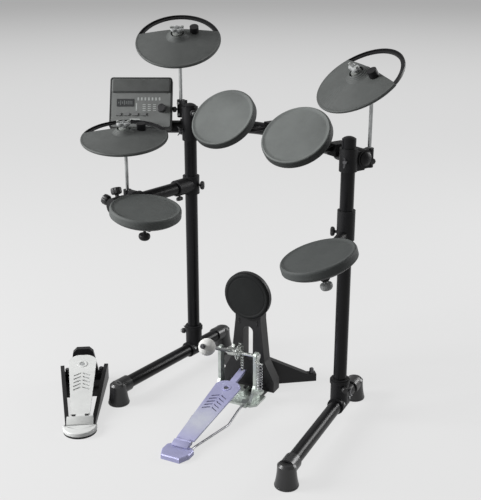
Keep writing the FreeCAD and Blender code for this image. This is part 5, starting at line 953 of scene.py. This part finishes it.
def hinge_cover(foot, hinge, half, axes, origin):
    """Plate over the hinge ears: a faintly bowed slope from its foot (y, z) up to the knuckle
    round the hinge (y, z), drawn as a thin section carried across the pedal."""
    start = np.array(foot)
    end = np.array([hinge[0] - KNUCKLE_R - 1.4, hinge[1] + KNUCKLE_R])
    along = unit(end - start)
    normal = np.array([-along[1], along[0]])
    share = np.linspace(0, 1, 9)[:, None]
    line = start + (end - start) * share + normal * (1.2 * np.sin(math.pi * share))
    outline = np.concatenate([line + normal * 1.1, (line - normal * 1.1)[::-1]])
    across = [(-half, 0.8), (-half + 0.8, 1.0), (half - 0.8, 1.0), (half, 0.8)]
    middle = outline.mean(0)
    rows = [np.column_stack([np.full(len(outline), x), middle + (outline - middle) * size])
            for x, size in across]
    ends = [np.broadcast_to([x, *middle], rows[0].shape) for x in (-half, half)]
    return placed(np.stack([ends[0], *rows, ends[1]]), axes, origin), False, True


build("kick_hinge_cover", [hinge_cover(KICK_COVER_FOOT, (BOARD_HINGE_Y, BOARD_HINGE_Z), EAR_OUT + 1.5,
                                       KICK_AXES, KICK_AT)], "rack", "pedal_plate", SHADED_HINGE_LAVENDER)
build("hihat_hinge_cover", [hinge_cover(HH_COVER_FOOT, (0.0, HH_HINGE_Z), HH_COVER_HALF, HH_AXES,
                                        HH_AT)], "rack", "hihat_plate", HINGE_GREY)


def heel_tray():
    """Heel cover: a circle cut straight at its front, raised as a tray with a rounded edge."""
    reach = math.asin((HH_HEEL_CUT - HH_HEEL_Y) / HH_TRAY_R)
    a = np.linspace(math.pi - reach, TAU + reach, 61)
    outline = np.stack([HH_TRAY_R * np.cos(a), HH_HEEL_Y + HH_TRAY_R * np.sin(a)], -1)
    levels = [(0.0, 6.5), (0.0, 15.0), (0.5, 16.6), (1.6, 17.6), (3.2, 18.0)]
    return stacked(outline, levels, HH_AXES, HH_AT)


build("hihat_heel_tray", [heel_tray()], "rack", "hihat_plate", replaces=["hihat_heel"])


# Axle fittings and boot soles

BEARING = ((5.4, -0.4), (5.4, 2.2), (6.6, 2.2), (6.6, 1.2), (8.6, 1.2), (8.6, 2.0), (9.6, 1.6),
           (9.8, -0.4))
KEY_BOLT = ((0.0, -1.0), (3.4, -1.0), (3.4, 2.0), (4.6, 2.4), (4.6, 9.0), (3.8, 9.8), (0.0, 9.8))
KEY_REACH = 13.0
SOLE = ((30.2, 0.4), (31.6, 0.6), (32.0, 1.6), (32.0, 4.6), (31.4, 5.6), (30.2, 6.0))
build("bearing_caps", [lathe(BEARING, KICK_AXES @ axes_along((-1, 0, 0)), kick(-63, 0, AXLE_Z), 48)],
      "rack", "axle_steel")
build("hub_key_bolt", [lathe(KEY_BOLT, KICK_AXES @ axes_along(BEATER_AHEAD),
                             kick(*(HUB_AT + KEY_REACH * BEATER_AHEAD)), 48, 4, 0.1)],
      "beater", "axle_steel")
soles = []
for post, turn, ends in LEGS:
    for end in ends:
        foot = np.array([post, 0.0, 0.0]) + turned(turn) @ np.array([0.0, -end, 0.0])
        soles.append(lathe(SOLE, np.eye(3), foot, 72))
build("boot_soles", soles, "rack", "boot_rubber")


# Print on the module's face

GLASS_RISE = 0.6       # of the window above the face


def mark(width, length, x, y, z=MODULE_DEPTH):
    """Thin printed bar on the module's face."""
    return stacked(rounded_rect(width, length, min(width, length) * 0.3, 4) + [x, y],
                   [(0.0, z - 0.1), (0.0, z + 0.15)], MODULE_AXES, MODULE_AT)


marks = [mark(4.8, 9.5, -8 + 10.6 * k, 12.0) for k in range(7)]
marks += [mark(9.0, 2.2, 10.0 + 15.5 * k, -6.0 - 6.0 * row) for k in range(3) for row in range(4)]
marks += [mark(3.4, 24.0, -13.0, -13.0), mark(32.0, 7.0, -17.0, -53.0)]
build("module_print", marks, "module", "module_face", PAINT_MARK)
dim = [mark(2.0, 5.0 + 9.0 * abs(math.sin(1.7 * k)), -66 + 5.6 * k, 0.0, MODULE_DEPTH + GLASS_RISE)
       for k in range(8)]
dim += [mark(7.0, 1.6, -66 + 25 * k, -27.5) for k in range(4)]
build("module_dim_print", dim, "module", "module_face", DIM_PRINT)
brow = stacked(rounded_rect(BROW_WIDTH, BROW_LENGTH, BROW_CORNER_R) + [0.0, BROW_Y],
               [(0.6, MODULE_DEPTH + 0.5), (0.0, MODULE_DEPTH + 0.9), (4.0, MODULE_DEPTH + 5.25),
                (4.6, MODULE_DEPTH + 5.5)], MODULE_AXES, MODULE_AT)
build("module_brow", [brow], "module", "module_face", BROW_GREY, sharp=20.0)


# Camera, stage and light

CAMERA_AT = (1637.8, -2013.0, 1363.0)
CAMERA_TURN = (70.6, 0.0, 40.6)
CAMERA_LENS = 67.46
SENSOR = 36.0
FAR_CLIP = 200.0
PALE = 0.785
FAR = 0.47             # tone of the floor far off
FADE_FROM = 4.6
FADE_TO = 15.5
BOUNCE = 0.3
FLAT_SHARE = 0.85      # share of the seen floor that takes no shadow
FILL = 0.08
FLOOR_R = 60.0         # metres, as its height below
FLOOR_Z = -0.0005
FLOOR_SIDES = 96

camera = shown("camera", bpy.data.cameras.new("camera"))
camera.location = to_row(CAMERA_AT)
camera.rotation_euler = [math.radians(angle) for angle in CAMERA_TURN]
camera.data.lens = CAMERA_LENS
camera.data.sensor_width = SENSOR
camera.data.clip_end = FAR_CLIP
SCENE.camera = camera
SCENE.view_settings.view_transform = "Standard"


def seen_rays(tree):
    """1 for rays from the camera, off gloss or through glass, which show the pale background."""
    path = add(tree, "ShaderNodeLightPath").outputs
    seen = maths(tree, "MAXIMUM", path["Is Camera Ray"], path["Is Glossy Ray"])
    return maths(tree, "MAXIMUM", seen, path["Is Transmission Ray"])


def floor_material():
    """Pale floor that keeps a soft shadow: a flat pale tone for what is seen, mixed with a diffuse
    that takes the shadow and is duller for light that bounces; it darkens with distance."""
    material = bpy.data.materials.new("pale floor")
    material.use_nodes = True
    tree = material.node_tree
    tree.nodes.clear()
    distance = add(tree, "ShaderNodeVectorMath", {0: here(tree)}, operation="LENGTH")
    tone = remap(tree, distance.outputs["Value"], FADE_FROM, FADE_TO, PALE, FAR, "SMOOTHSTEP")
    flat = add(tree, "ShaderNodeEmission", {"Color": tone, "Strength": 1.0})
    seen = seen_rays(tree)
    dull = maths(tree, "MULTIPLY", tone, remap(tree, seen, start=BOUNCE))
    shaded = add(tree, "ShaderNodeBsdfDiffuse", {"Color": dull})
    share = maths(tree, "MULTIPLY", seen, FLAT_SHARE)
    both = add(tree, "ShaderNodeMixShader", {0: share, 1: shaded.outputs[0], 2: flat.outputs[0]})
    add(tree, "ShaderNodeOutputMaterial", {"Surface": both.outputs[0]})
    return material


angles = np.linspace(0, TAU, FLOOR_SIDES, endpoint=False)
floor_points = np.stack([np.cos(angles) * FLOOR_R, np.sin(angles) * FLOOR_R,
                         np.full(FLOOR_SIDES, FLOOR_Z)], -1)
floor_mesh = bpy.data.meshes.new("floor")
floor_mesh.from_pydata(floor_points.tolist(), [], [list(range(FLOOR_SIDES))])
floor_mesh.materials.append(floor_material())
shown("floor", floor_mesh)

world = bpy.data.worlds.new("studio")
world.use_nodes = True
background = world.node_tree.nodes["Background"].inputs
background["Color"].default_value = (1.0, 1.0, 1.0, 1.0)
level = remap(world.node_tree, seen_rays(world.node_tree), start=FILL, end=FAR * FLAT_SHARE)
world.node_tree.links.new(level, background["Strength"])
SCENE.world = world


def soft_lamp(name, at, aim, size, watts):
    """Square area lamp at a place in the row frame, turned to an aim point."""
    data = bpy.data.lights.new(name, "AREA")
    data.size = size
    data.energy = watts
    back = np.array(at) - np.array(aim)
    turn = np.eye(4)
    turn[:3, :3] = axes_along(back, np.cross(UP, back))
    turn[:3, 3] = at
    shown(name, data).matrix_world = Matrix(turn.tolist())


soft_lamp("left key", (-2.4, -2.6, 2.0), (0.0, 0.1, 0.6), 1.8, 235.0)
soft_lamp("front fill", (1.0, -3.3, 1.7), (0.0, 0.1, 0.5), 0.8, 15.0)
soft_lamp("top", (0.2, 0.0, 3.4), (0.0, 0.1, 0.0), 2.2, 18.0)
soft_lamp("rear rim", (1.4, 3.0, 1.55), (0.0, 0.1, 0.5), 1.3, 55.0)
